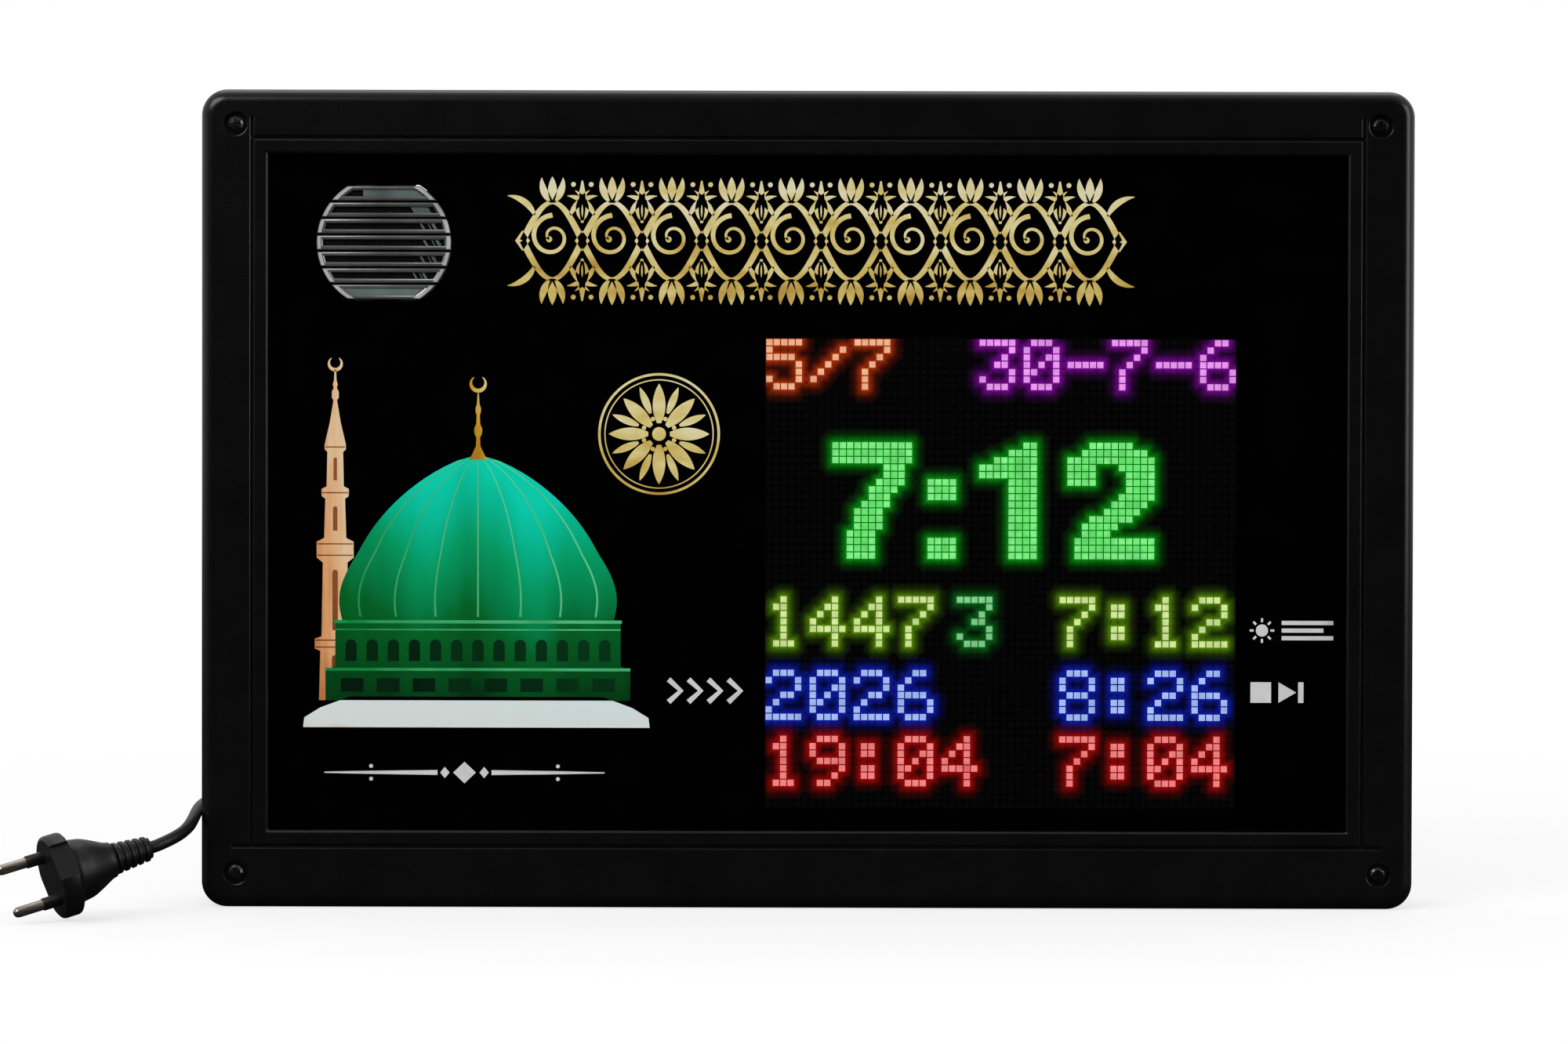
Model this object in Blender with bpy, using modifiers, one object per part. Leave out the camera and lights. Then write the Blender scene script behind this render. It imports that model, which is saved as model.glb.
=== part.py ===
"""Prayer-time wall clock with a colour LED matrix, a speaker and a mains lead.

Metres, +Z up. The front faces -Y, +X is the viewer's right, and the origin is
the middle of the case's footprint, on the surface that it stands on.
"""

import math

import bmesh
import bpy
from mathutils import Matrix, Vector

MM = 0.001

# Driving sizes of the case
CASE_WIDTH = 492 * MM
CASE_HEIGHT = 332 * MM
CASE_DEPTH = 46 * MM
CORNER_RADIUS = 10.5 * MM
FRONT_EDGE_RADIUS = 5.5 * MM
SIDE_WALL = 2.6 * MM
FRONT_WALL = 3.4 * MM
SIDE_FACE_WIDTH = 21 * MM
TOP_FACE_WIDTH = 19.8 * MM
BOTTOM_FACE_WIDTH = 25.2 * MM
LIP_WIDTH = 6.5 * MM
GROOVE_WIDTH = 1.2 * MM
GROOVE_DEPTH = 1.1 * MM
GROOVE_RUN_ON = 8 * MM
LIP_CHAMFER = 1 * MM
CORNER_REACH = 34 * MM
REAR_RECESS = 10 * MM
LEDGE_WIDTH = 8 * MM
LEDGE_THICKNESS = 2 * MM

# Clearances
GAP = 0.3 * MM
COVER_GAP = 0.5 * MM
CUT_OVERRUN = 2 * MM

# Screws of the frame and the rear cover
SCREW_RADIUS = 1.5 * MM
SCREW_HEAD_RADIUS = 3.2 * MM
SCREW_HEAD_HEIGHT = 1.5 * MM
SCREW_SLOT_LENGTH = 4 * MM
SCREW_SLOT_WIDTH = 0.8 * MM
SCREW_SLOT_DEPTH = 0.8 * MM
CORNER_SCREW_INSET = 14.3 * MM
CORNER_SCREW_LENGTH = 7 * MM
CORNER_SCREW_WELL = 2 * MM
CORNER_SCREW_WELL_RADIUS = 4.6 * MM
COVER_SCREW_LENGTH = 5 * MM
COVER_SCREW_INSET = 8.5 * MM

# Metal angles that join the rails behind the front wall
BRACKET_INSET = 4 * MM
BRACKET_WIDTH = 13 * MM
BRACKET_LENGTH = 52 * MM
BRACKET_THICKNESS = 1.5 * MM
BRACKET_CORNER = 6 * MM

# Front sheet and printed film
SHEET_THICKNESS = 2.5 * MM
SHEET_MARGIN = 7.5 * MM
FILM_THICKNESS = 0.5 * MM

# Display module
MODULE_SIZE = 192 * MM
MODULE_ACROSS_SHARE = 0.15955
MODULE_X = CASE_WIDTH * MODULE_ACROSS_SHARE
MODULE_Z = 136.3 * MM
MASK_THICKNESS = 2.4 * MM
BOARD_THICKNESS = 1.6 * MM
BOARD_MARGIN = 0.6 * MM
BACK_FRAME_DEPTH = 8 * MM
BACK_FRAME_BAR = 12 * MM
BACK_FRAME_MARGIN = 3 * MM

# Speaker and its grille
SPEAKER_FROM_SIDE = 74 * MM
SPEAKER_FROM_TOP = 62.1 * MM
SPEAKER_X = -CASE_WIDTH / 2 + SPEAKER_FROM_SIDE
SPEAKER_Z = CASE_HEIGHT - SPEAKER_FROM_TOP
GRILLE_RADIUS = 27.2 * MM
GRILLE_HALF_HEIGHT = 23.3 * MM
GRILLE_PROUD = 1.3 * MM
GRILLE_DEPTH = 6 * MM
GRILLE_RIM = 2.4 * MM
GRILLE_BANDS = 7
GRILLE_SLOT = 1.5 * MM
GRILLE_ARC_STEPS = 14
BASKET_RADIUS = 26.5 * MM
BASKET_WALL = 1.2 * MM
BASKET_BACK_RADIUS = 14 * MM
BASKET_DEPTH = 13 * MM
BASKET_RIM_DEPTH = 3.6 * MM
MAGNET_RADIUS = 15 * MM
MAGNET_DEPTH = 6.5 * MM
SURROUND_WIDTH = 3.4 * MM
SURROUND_ROLL = 1.2 * MM
CONE_WALL = 0.7 * MM
CONE_DEPTH = 6 * MM
CONE_NECK_RADIUS = 7.5 * MM
COIL_FORMER_DEPTH = 3 * MM
CONE_TRAVEL = 1 * MM

# Rear cover
COVER_THICKNESS = 2.5 * MM
VENT_LENGTH = 46 * MM
VENT_HEIGHT = 3 * MM
VENT_PITCH = 8 * MM
VENT_ROWS = 6
VENT_FROM_SIDE = 96 * MM
VENT_RISE_SHARE = 0.5723
VENT_X = CASE_WIDTH / 2 - VENT_FROM_SIDE
VENT_Z = CASE_HEIGHT * VENT_RISE_SHARE
HANGER_FROM_SIDE = 86 * MM
HANGER_FROM_TOP = 36 * MM
HANGER_X = CASE_WIDTH / 2 - HANGER_FROM_SIDE
HANGER_Z = CASE_HEIGHT - HANGER_FROM_TOP
HANGER_WIDTH = 30 * MM
HANGER_HEIGHT = 26 * MM
HANGER_THICKNESS = 1.5 * MM
KEYHOLE_HEAD_RADIUS = 4.6 * MM
KEYHOLE_SLOT_RADIUS = 2.3 * MM
KEYHOLE_DROP = 9 * MM
KEYHOLE_POCKET = 1.5 * MM

# Controls on the rear cover
CONTROL_FROM_TOP = 80 * MM
CONTROL_Z = CASE_HEIGHT - CONTROL_FROM_TOP
BUTTON_FROM_SIDE = 128 * MM
BUTTON_X = CASE_WIDTH / 2 - BUTTON_FROM_SIDE
BUTTON_PITCH = 15 * MM
BUTTON_COUNT = 4
BUTTON_RADIUS = 4 * MM
BUTTON_FLANGE_RADIUS = 5.4 * MM
BUTTON_FLANGE = 1.2 * MM
BUTTON_PROUD = 3.2 * MM
BUTTON_STEM_RADIUS = 1.6 * MM
BUTTON_STEM = 2.5 * MM
BUTTON_TRAVEL = 1 * MM
SWITCH_SIZE = 6 * MM
SWITCH_HEIGHT = 4 * MM
KNOB_TO_BUTTONS = 34 * MM
KNOB_X = BUTTON_X - KNOB_TO_BUTTONS
KNOB_RADIUS = 8 * MM
KNOB_HEIGHT = 7.5 * MM
KNOB_FLUTES = 14
KNOB_FLUTE_RADIUS = 0.7 * MM
KNOB_POINTER_WIDTH = 1.2 * MM
KNOB_POINTER_DEPTH = 0.7 * MM
SHAFT_RADIUS = 3 * MM
SHAFT_INSIDE = 3 * MM
POT_SIZE = 16 * MM
POT_DEPTH = 7 * MM
CONTROL_BOARD_MARGIN = 6 * MM

# Electronics on the inside of the rear cover
SUPPLY_FROM_SIDE = 96 * MM
SUPPLY_X = -CASE_WIDTH / 2 + SUPPLY_FROM_SIDE
SUPPLY_Z = 122 * MM
SUPPLY_WIDTH = 112 * MM
SUPPLY_HEIGHT = 62 * MM
SUPPLY_DEPTH = 20 * MM
SUPPLY_EDGE = 1.5 * MM
TERMINAL_WIDTH = 14 * MM
TERMINAL_HEIGHT = 44 * MM
TERMINAL_DEPTH = 9 * MM
CONTROLLER_OFFSET = 16.5 * MM
CONTROLLER_X = MODULE_X + CONTROLLER_OFFSET
CONTROLLER_Z = 150 * MM
CONTROLLER_WIDTH = 72 * MM
CONTROLLER_HEIGHT = 50 * MM
STANDOFF_HEIGHT = 3 * MM
STANDOFF_RADIUS = 2.5 * MM
STANDOFF_INSET = 5 * MM
CHIP_SIZE = 14 * MM
CHIP_HEIGHT = 2 * MM
SOCKET_WIDTH = 9 * MM
SOCKET_LENGTH = 28 * MM
AMPLIFIER_ACROSS = 77 * MM
AMPLIFIER_DROP = 19 * MM
AMPLIFIER_X = SPEAKER_X + AMPLIFIER_ACROSS
AMPLIFIER_Z = SPEAKER_Z - AMPLIFIER_DROP
AMPLIFIER_WIDTH = 44 * MM
AMPLIFIER_HEIGHT = 34 * MM
CAPACITOR_RADIUS = 4 * MM
CAPACITOR_HEIGHT = 9 * MM
CELL_RADIUS = 10 * MM
CELL_HEIGHT = 3.2 * MM
CELL_X = 20 * MM
CELL_Z = -11 * MM
RIBBON_WIDTH = 20 * MM
RIBBON_THICKNESS = 1 * MM
WIRE_RADIUS = 1.2 * MM
MAINS_WIRE_RADIUS = 2.2 * MM

# Mains lead
CORD_DIAMETER = 5 * MM
GLAND_TO_SUPPLY = 46 * MM
GLAND_X = SUPPLY_X + GLAND_TO_SUPPLY
GLAND_Z = 58 * MM
GLAND_NECK_RADIUS = 5.6 * MM
GLAND_COLLAR_RADIUS = 8 * MM
GLAND_COLLAR = 2 * MM
GLAND_LENGTH = 26 * MM
GLAND_RIBS = 5
GLAND_TIP_RADIUS = 3.4 * MM
GLAND_RIB_HEIGHT = 0.7 * MM
COIL_TO_GLAND = 61 * MM
COIL_X = GLAND_X - COIL_TO_GLAND
COIL_Y = 86 * MM
COIL_OUTER_RADIUS = 37.5 * MM
COIL_TURN_PITCH = 5.6 * MM
COIL_TURNS_PER_LAYER = 3
COIL_POINTS_PER_TURN = 24
CORD_SPACING = 12.5 * MM
TIE_WIDTH = 7 * MM
TIE_THICKNESS = 0.8 * MM
FLOOR_GAP = 0.1 * MM

# Plug at the cord's end, resting on the rim of its flange
CASE_LEFT = Vector((-CASE_WIDTH / 2, 0, 0))
PLUG_TAIL = CASE_LEFT + Vector((-15.7, -50.5, 27.1)) * MM
PLUG_FACE = CASE_LEFT + Vector((-51.6, -68.9, 16.8)) * MM
PLUG_ROLL_DEGREES = 31
PLUG_FLANGE_RADIUS = 16.8 * MM
PLUG_FLANGE_DEPTH = 8 * MM
PLUG_EDGE = 1.5 * MM
PLUG_GRIP_RADIUS = 12.8 * MM
PLUG_WAIST_RADIUS = 11.4 * MM
PLUG_WAIST = 16 * MM
PLUG_SHOULDER_RADIUS = 9.2 * MM
PLUG_SHOULDER = 20.5 * MM
PLUG_NECK_RADIUS = 7.2 * MM
PLUG_RELIEF_LENGTH = 15 * MM
PLUG_RELIEF_RADIUS = 6.4 * MM
PLUG_RELIEF_TIP_RADIUS = 4.9 * MM
PLUG_RELIEF_RIBS = 5
PLUG_NOTCH_WIDTH = 15 * MM
PLUG_NOTCH_DEPTH = 3.4 * MM
PIN_RADIUS = 2.1 * MM
PIN_LENGTH = 19 * MM
PIN_SPACING = 19 * MM
PIN_SLEEVE_RADIUS = 2.5 * MM
PIN_SLEEVE_LENGTH = 7 * MM
PIN_TIP = 1.5 * MM

# Along each rib of a relief, and how deep it is there
RIB_SHARES = ((0.0, 0.0), (0.5, 0.0), (0.75, 1.0))

# Facets of round pieces
ROUND = 24
SMALL_ROUND = 16
SCREW_SIDES = 12
FEW_SIDES = 8
EDGE_STEPS = 4
CORNER_STEPS = 6
LEAD_SIDES_RESOLUTION = 2
COIL_SIDES_RESOLUTION = 1
SHARP_DEGREES = 35
FLAT_DEGREES = 1
ROUTE_STEPS = 40

# Places that follow from the sizes, as depths behind the front face
LIP_BACK = FRONT_WALL + GAP
FILM_FRONT = LIP_BACK + SHEET_THICKNESS + GAP
FILM_BACK = FILM_FRONT + FILM_THICKNESS
COVER_BACK = CASE_DEPTH - REAR_RECESS
COVER_FRONT = COVER_BACK - COVER_THICKNESS
LEDGE_BACK = COVER_FRONT - GAP
LEDGE_FRONT = LEDGE_BACK - LEDGE_THICKNESS
WINDOW_LEFT = -CASE_WIDTH / 2 + SIDE_FACE_WIDTH + LIP_WIDTH
WINDOW_RIGHT = -WINDOW_LEFT
WINDOW_BOTTOM = BOTTOM_FACE_WIDTH + LIP_WIDTH
WINDOW_TOP = CASE_HEIGHT - TOP_FACE_WIDTH - LIP_WIDTH
GRILLE_FRONT = LIP_BACK - GRILLE_PROUD
GRILLE_BACK = GRILLE_FRONT + GRILLE_DEPTH
LEDGE_MIDDLE = SIDE_WALL + LEDGE_WIDTH / 2


def fresh_collection(name):
    """A new collection in the scene."""
    found = bpy.data.collections.new(name)
    bpy.context.scene.collection.children.link(found)
    return found


for leftover in list(bpy.data.objects):
    bpy.data.objects.remove(leftover)

PARTS = fresh_collection("azan_clock")
CUTTERS = fresh_collection("cutters")


def material(name, colour, roughness, metallic=0.0, alpha=1.0):
    """A Principled material in one colour."""
    made = bpy.data.materials.new(name)
    made.use_nodes = True
    shader = made.node_tree.nodes["Principled BSDF"]
    shader.inputs["Base Color"].default_value = (*colour, 1.0)
    shader.inputs["Roughness"].default_value = roughness
    shader.inputs["Metallic"].default_value = metallic
    shader.inputs["Alpha"].default_value = alpha
    made.diffuse_color = (*colour, alpha)
    return made


def depth(behind_front):
    """World Y of a plane so far behind the case's front face."""
    return behind_front - CASE_DEPTH / 2


def mesh_object(name, bm, look=None):
    """Puts a bmesh in the scene as a part, or as a cutter where it has no material."""
    bmesh.ops.recalc_face_normals(bm, faces=bm.faces)
    mesh = bpy.data.meshes.new(name)
    bm.to_mesh(mesh)
    bm.free()
    made = bpy.data.objects.new(name, mesh)
    finish(made, look)
    return made


def finish(made, look):
    """Links an object as a part with its material, or as a cutter."""
    if look is None:
        CUTTERS.objects.link(made)
        made.hide_render = True
        made.display_type = "WIRE"
        return
    PARTS.objects.link(made)
    made.data.materials.clear()
    made.data.materials.append(look)
    if made.type == "MESH":
        made.data.shade_smooth()
        made.data.set_sharp_from_angle(angle=math.radians(SHARP_DEGREES))


def add_box(bm, low, high):
    """Adds a box between two corners to a bmesh."""
    low = Vector(low)
    high = Vector(high)
    made = bmesh.ops.create_cube(bm, size=1)
    place = Matrix.Translation((low + high) / 2) @ Matrix.Diagonal((*(high - low), 1))
    bmesh.ops.transform(bm, matrix=place, verts=made["verts"])
    return made["verts"]


def add_rod(bm, radius, start, end, sides=SMALL_ROUND, end_radius=None):
    """Adds a cylinder or cone between two points to a bmesh."""
    start = Vector(start)
    end = Vector(end)
    along = end - start
    made = bmesh.ops.create_cone(
        bm,
        cap_ends=True,
        segments=sides,
        radius1=radius,
        radius2=radius if end_radius is None else end_radius,
        depth=along.length,
    )
    turn = along.to_track_quat("Z", "Y").to_matrix().to_4x4()
    place = Matrix.Translation((start + end) / 2) @ turn
    bmesh.ops.transform(bm, matrix=place, verts=made["verts"])


def box(name, low, high, look=None, edge=0.0):
    """A box, with its edges rounded by a Bevel modifier where an edge is given."""
    bm = bmesh.new()
    add_box(bm, low, high)
    made = mesh_object(name, bm, look)
    if edge:
        rounding = made.modifiers.new("edges", "BEVEL")
        rounding.width = edge
        rounding.segments = 2
    return made


def boxes(name, corners):
    """One cutter of several boxes that stand clear of each other."""
    bm = bmesh.new()
    for low, high in corners:
        add_box(bm, low, high)
    return mesh_object(name, bm)


def rods(name, radius, lines, sides=SMALL_ROUND):
    """One cutter of several rods that stand clear of each other."""
    bm = bmesh.new()
    for start, end in lines:
        add_rod(bm, radius, start, end, sides)
    return mesh_object(name, bm)


def boolean(target, other, operation="DIFFERENCE"):
    """Cuts, joins or intersects a part with another solid."""
    step = target.modifiers.new(operation.lower(), "BOOLEAN")
    step.operation = operation
    step.solver = "EXACT"
    step.object = other
    return target


def plate(name, points, front, back, look=None):
    """A flat outline in X and Z, given thickness between two depths."""
    data = bpy.data.curves.new(name, "CURVE")
    data.dimensions = "2D"
    data.fill_mode = "BOTH"
    data.extrude = (back - front) / 2
    spline = data.splines.new("POLY")
    spline.points.add(len(points) - 1)
    for point, (x, z) in zip(spline.points, points):
        point.co = (x, z, 0.0, 1.0)
    spline.use_cyclic_u = True
    place = Matrix.Translation((0.0, depth((front + back) / 2), 0.0))
    return from_curve(name, data, place @ Matrix.Rotation(math.radians(90), 4, "X"), look)


def from_curve(name, data, place, look):
    """Makes a curve a closed mesh and places it."""
    curve = bpy.data.objects.new(name + "_curve", data)
    CUTTERS.objects.link(curve)
    bpy.context.view_layer.update()
    evaluated = curve.evaluated_get(bpy.context.evaluated_depsgraph_get())
    mesh = bpy.data.meshes.new_from_object(evaluated)
    bpy.data.objects.remove(curve)
    bm = bmesh.new()
    bm.from_mesh(mesh)
    bpy.data.meshes.remove(mesh)
    bmesh.ops.remove_doubles(bm, verts=bm.verts, dist=GAP / 30)
    bmesh.ops.transform(bm, matrix=place, verts=bm.verts)
    return mesh_object(name, bm, look)


def arc(centre, radius, start_degrees, end_degrees, steps):
    """Points on an arc, both ends included."""
    found = []
    for index in range(steps + 1):
        angle = math.radians(start_degrees + (end_degrees - start_degrees) * index / steps)
        found.append((centre[0] + radius * math.cos(angle), centre[1] + radius * math.sin(angle)))
    return found


def rounded_outline(left, right, bottom, top, radius):
    """A rectangle with round corners."""
    inner = (left + radius, right - radius, bottom + radius, top - radius)
    points = arc((inner[1], inner[3]), radius, 0, 90, CORNER_STEPS)
    points += arc((inner[0], inner[3]), radius, 90, 180, CORNER_STEPS)
    points += arc((inner[0], inner[2]), radius, 180, 270, CORNER_STEPS)
    points += arc((inner[1], inner[2]), radius, 270, 360, CORNER_STEPS)
    return points


def case_outline(inset):
    """The case's outline, drawn in by an inset."""
    return rounded_outline(
        -CASE_WIDTH / 2 + inset,
        CASE_WIDTH / 2 - inset,
        inset,
        CASE_HEIGHT - inset,
        max(CORNER_RADIUS - inset, GAP),
    )


def turned(name, profile, centre, toward, look, sides=ROUND):
    """A closed solid turned about an axis: radius and distance pairs, from the front end to the back."""
    mesh = bpy.data.meshes.new(name)
    points = [(radius, 0.0, -distance) for radius, distance in profile]
    loop = list(range(len(points)))
    closed = profile[0][0] > 0 and profile[-1][0] > 0
    edges = list(zip(loop, loop[1:] + ([loop[0]] if closed else [])))
    mesh.from_pydata(points, edges, [])
    made = bpy.data.objects.new(name, mesh)
    made.matrix_world = axis_frame(centre, toward)
    screw = made.modifiers.new("turn", "SCREW")
    screw.axis = "Z"
    screw.steps = sides
    screw.render_steps = sides
    screw.use_merge_vertices = True
    screw.merge_threshold = GAP / 10
    screw.use_normal_calculate = True
    if look is None:
        CUTTERS.objects.link(made)
    else:
        PARTS.objects.link(made)
    bpy.context.view_layer.update()
    evaluated = made.evaluated_get(bpy.context.evaluated_depsgraph_get())
    solid = bpy.data.meshes.new_from_object(evaluated)
    bm = bmesh.new()
    bm.from_mesh(solid)
    bmesh.ops.remove_doubles(bm, verts=bm.verts, dist=GAP / 30)
    bmesh.ops.transform(bm, matrix=made.matrix_world, verts=bm.verts)
    bpy.data.objects.remove(made)
    return mesh_object(name, bm, look)


def axis_frame(centre, toward, roll_degrees=0.0):
    """A frame at a point whose +Z looks along a direction, rolled about it."""
    turn = Vector(toward).to_track_quat("Z", "Y").to_matrix().to_4x4()
    return Matrix.Translation(centre) @ turn @ Matrix.Rotation(math.radians(roll_degrees), 4, "Z")


def centre_origin(made, point):
    """Moves an object's origin to a point and leaves its shape where it is."""
    point = Vector(point)
    made.data.transform(Matrix.Translation(-point))
    made.location = point


def smooth_route(points, spacing):
    """A smooth curve through the route's points, read at an even spacing, with straight ends."""
    fine = []
    for index in range(len(points) - 3):
        before, here, there, after = points[index : index + 4]
        for step in range(ROUTE_STEPS):
            t = step / ROUTE_STEPS
            fine.append(
                0.5
                * (
                    2 * here
                    + (there - before) * t
                    + (2 * before - 5 * here + 4 * there - after) * t**2
                    + (3 * here - before - 3 * there + after) * t**3
                )
            )
    fine.append(points[-2])
    lengths = [0.0]
    for here, there in zip(fine, fine[1:]):
        lengths.append(lengths[-1] + (there - here).length)
    count = max(2, round(lengths[-1] / spacing))
    found = [points[0]]
    place = 0
    for index in range(count + 1):
        wanted = lengths[-1] * index / count
        while place < len(fine) - 2 and lengths[place + 1] < wanted:
            place += 1
        step_length = lengths[place + 1] - lengths[place]
        share = (wanted - lengths[place]) / step_length
        found.append(fine[place].lerp(fine[place + 1], share))
    found.append(points[-1])
    return found


def tube(name, points, radius, look, resolution=LEAD_SIDES_RESOLUTION):
    """A round tube along points, with filled ends."""
    data = bpy.data.curves.new(name, "CURVE")
    data.dimensions = "3D"
    data.bevel_depth = radius
    data.bevel_resolution = resolution
    data.use_fill_caps = True
    spline = data.splines.new("POLY")
    spline.points.add(len(points) - 1)
    for point, place in zip(spline.points, points):
        point.co = (*place, 1.0)
    return from_curve(name, data, Matrix.Identity(4), look)


BLACK_PLASTIC = material("black_plastic", (0.012, 0.012, 0.013), 0.38)
CAP_PLASTIC = material("cap_plastic", (0.015, 0.015, 0.016), 0.42)
CLEAR_ACRYLIC = material("clear_acrylic", (0.75, 0.75, 0.78), 0.05, alpha=0.15)
BLACK_FILM = material("black_film", (0.003, 0.003, 0.003), 0.5)
CHROME = material("smoked_chrome", (0.35, 0.36, 0.37), 0.2, 1.0)
MASK_BLACK = material("mask_black", (0.006, 0.006, 0.006), 0.7)
CIRCUIT_GREEN = material("circuit_green", (0.02, 0.12, 0.05), 0.5)
STEEL = material("zinc_steel", (0.55, 0.55, 0.56), 0.35, 1.0)
SCREW_STEEL = material("screw_steel", (0.2, 0.2, 0.21), 0.35, 1.0)
MAGNET_GREY = material("magnet_grey", (0.08, 0.08, 0.085), 0.6)
PAPER = material("cone_paper", (0.03, 0.03, 0.032), 0.85)
RUBBER = material("surround_rubber", (0.015, 0.015, 0.015), 0.8)
SUPPLY_METAL = material("supply_metal", (0.6, 0.6, 0.6), 0.4, 1.0)
RIBBON_GREY = material("ribbon_grey", (0.35, 0.35, 0.36), 0.6)
RED_WIRE = material("red_wire", (0.5, 0.02, 0.02), 0.5)
BLACK_WIRE = material("black_wire", (0.02, 0.02, 0.02), 0.5)
BOARD_PLASTIC = material("cover_plastic", (0.02, 0.02, 0.021), 0.6)
BUTTON_GREY = material("button_grey", (0.12, 0.12, 0.125), 0.5)
CORD_BLACK = material("cord_black", (0.012, 0.012, 0.012), 0.45)
PLUG_BLACK = material("plug_black", (0.014, 0.014, 0.014), 0.5)
PIN_METAL = material("pin_metal", (0.55, 0.5, 0.45), 0.3, 1.0)
CELL_METAL = material("cell_metal", (0.7, 0.7, 0.7), 0.25, 1.0)


def corner_points(inset):
    """The four corners of the case, drawn in by an inset, with their names."""
    reach = CASE_WIDTH / 2 - inset
    return {
        "top_left": (-reach, CASE_HEIGHT - inset),
        "top_right": (reach, CASE_HEIGHT - inset),
        "bottom_left": (-reach, inset),
        "bottom_right": (reach, inset),
    }


def cover_screw_points():
    """Where the rear cover's screws pass into the ledge."""
    found = dict(corner_points(COVER_SCREW_INSET))
    found["top_middle"] = (0.0, CASE_HEIGHT - LEDGE_MIDDLE)
    found["bottom_middle"] = (0.0, LEDGE_MIDDLE)
    return found


def window_cutter():
    """The opening in front of the display, with a chamfer at its front edge."""
    bm = bmesh.new()
    low = (WINDOW_LEFT, depth(-CUT_OVERRUN), WINDOW_BOTTOM)
    high = (WINDOW_RIGHT, depth(LEDGE_FRONT - CUT_OVERRUN), WINDOW_TOP)
    add_box(bm, low, high)
    made = mesh_object("window_cutter", bm)
    chamfer_low = (WINDOW_LEFT - LIP_CHAMFER, WINDOW_BOTTOM - LIP_CHAMFER)
    chamfer_high = (WINDOW_RIGHT + LIP_CHAMFER, WINDOW_TOP + LIP_CHAMFER)
    taper = bmesh.new()
    for vert in add_box(
        taper,
        (chamfer_low[0], depth(-LIP_CHAMFER), chamfer_low[1]),
        (chamfer_high[0], depth(LIP_CHAMFER), chamfer_high[1]),
    ):
        spread = LIP_CHAMFER if vert.co.y < depth(0.0) else -LIP_CHAMFER
        vert.co.x += math.copysign(spread, vert.co.x)
        vert.co.z += math.copysign(spread, vert.co.z - (WINDOW_BOTTOM + WINDOW_TOP) / 2)
    return made, mesh_object("window_chamfer", taper)


def groove_cutters():
    """Shallow lines outside the inner lip: uprights run on at the top, the low cross line at its ends."""
    half = GROOVE_WIDTH / 2
    near = depth(-CUT_OVERRUN)
    far = depth(GROOVE_DEPTH)
    left = WINDOW_LEFT - LIP_WIDTH
    low = WINDOW_BOTTOM - LIP_WIDTH
    high = WINDOW_TOP + LIP_WIDTH
    uprights = boxes(
        "upright_grooves",
        [((x - half, near, low), (x + half, far, high + GROOVE_RUN_ON)) for x in (left, -left)],
    )
    crosses = boxes(
        "cross_grooves",
        [
            ((left - run_on, near, z - half), (run_on - left, far, z + half))
            for z, run_on in ((low, GROOVE_RUN_ON), (high, 0.0))
        ],
    )
    return uprights, crosses


def frame_blank():
    """The whole frame in one piece, from which the rails and corners are parted."""
    made = plate("frame_blank", case_outline(0.0), 0.0, CASE_DEPTH)
    bm = bmesh.new()
    bm.from_mesh(made.data)
    bmesh.ops.dissolve_limit(
        bm, angle_limit=math.radians(FLAT_DEGREES), verts=bm.verts, edges=bm.edges
    )
    front = [
        edge
        for edge in bm.edges
        if all(abs(vert.co.y - depth(0.0)) < GAP / 10 for vert in edge.verts)
        and edge.is_manifold
        and edge.calc_face_angle() > math.radians(SHARP_DEGREES)
    ]
    bmesh.ops.bevel(
        bm,
        geom=front,
        offset=FRONT_EDGE_RADIUS,
        offset_type="OFFSET",
        segments=EDGE_STEPS,
        profile=0.5,
        affect="EDGES",
    )
    bm.to_mesh(made.data)
    bm.free()
    corners = corner_points(CORNER_SCREW_INSET).values()
    wells = rods(
        "corner_screw_wells",
        CORNER_SCREW_WELL_RADIUS,
        [((x, depth(-CUT_OVERRUN), z), (x, depth(CORNER_SCREW_WELL), z)) for x, z in corners],
    )
    holes = rods(
        "corner_screw_holes",
        SCREW_RADIUS + GAP,
        [((x, depth(0.0), z), (x, depth(FRONT_WALL + CUT_OVERRUN), z)) for x, z in corners],
    )
    for cutter in (wells, *window_cutter()):
        boolean(made, cutter)
    cavity = plate("cavity", case_outline(SIDE_WALL), FRONT_WALL, LEDGE_FRONT)
    opening = plate(
        "ledge_opening",
        case_outline(SIDE_WALL + LEDGE_WIDTH),
        LEDGE_FRONT - CUT_OVERRUN,
        LEDGE_BACK + CUT_OVERRUN,
    )
    recess = plate("rear_recess", case_outline(SIDE_WALL), LEDGE_BACK, CASE_DEPTH + CUT_OVERRUN)
    pilots = rods(
        "cover_screw_pilots",
        SCREW_RADIUS + GAP,
        [
            ((x, depth(LEDGE_FRONT - CUT_OVERRUN), z), (x, depth(LEDGE_BACK + CUT_OVERRUN), z))
            for x, z in cover_screw_points().values()
        ],
    )
    for cutter in (cavity, opening, recess, *groove_cutters(), holes, pilots):
        boolean(made, cutter)
    return made


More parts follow.
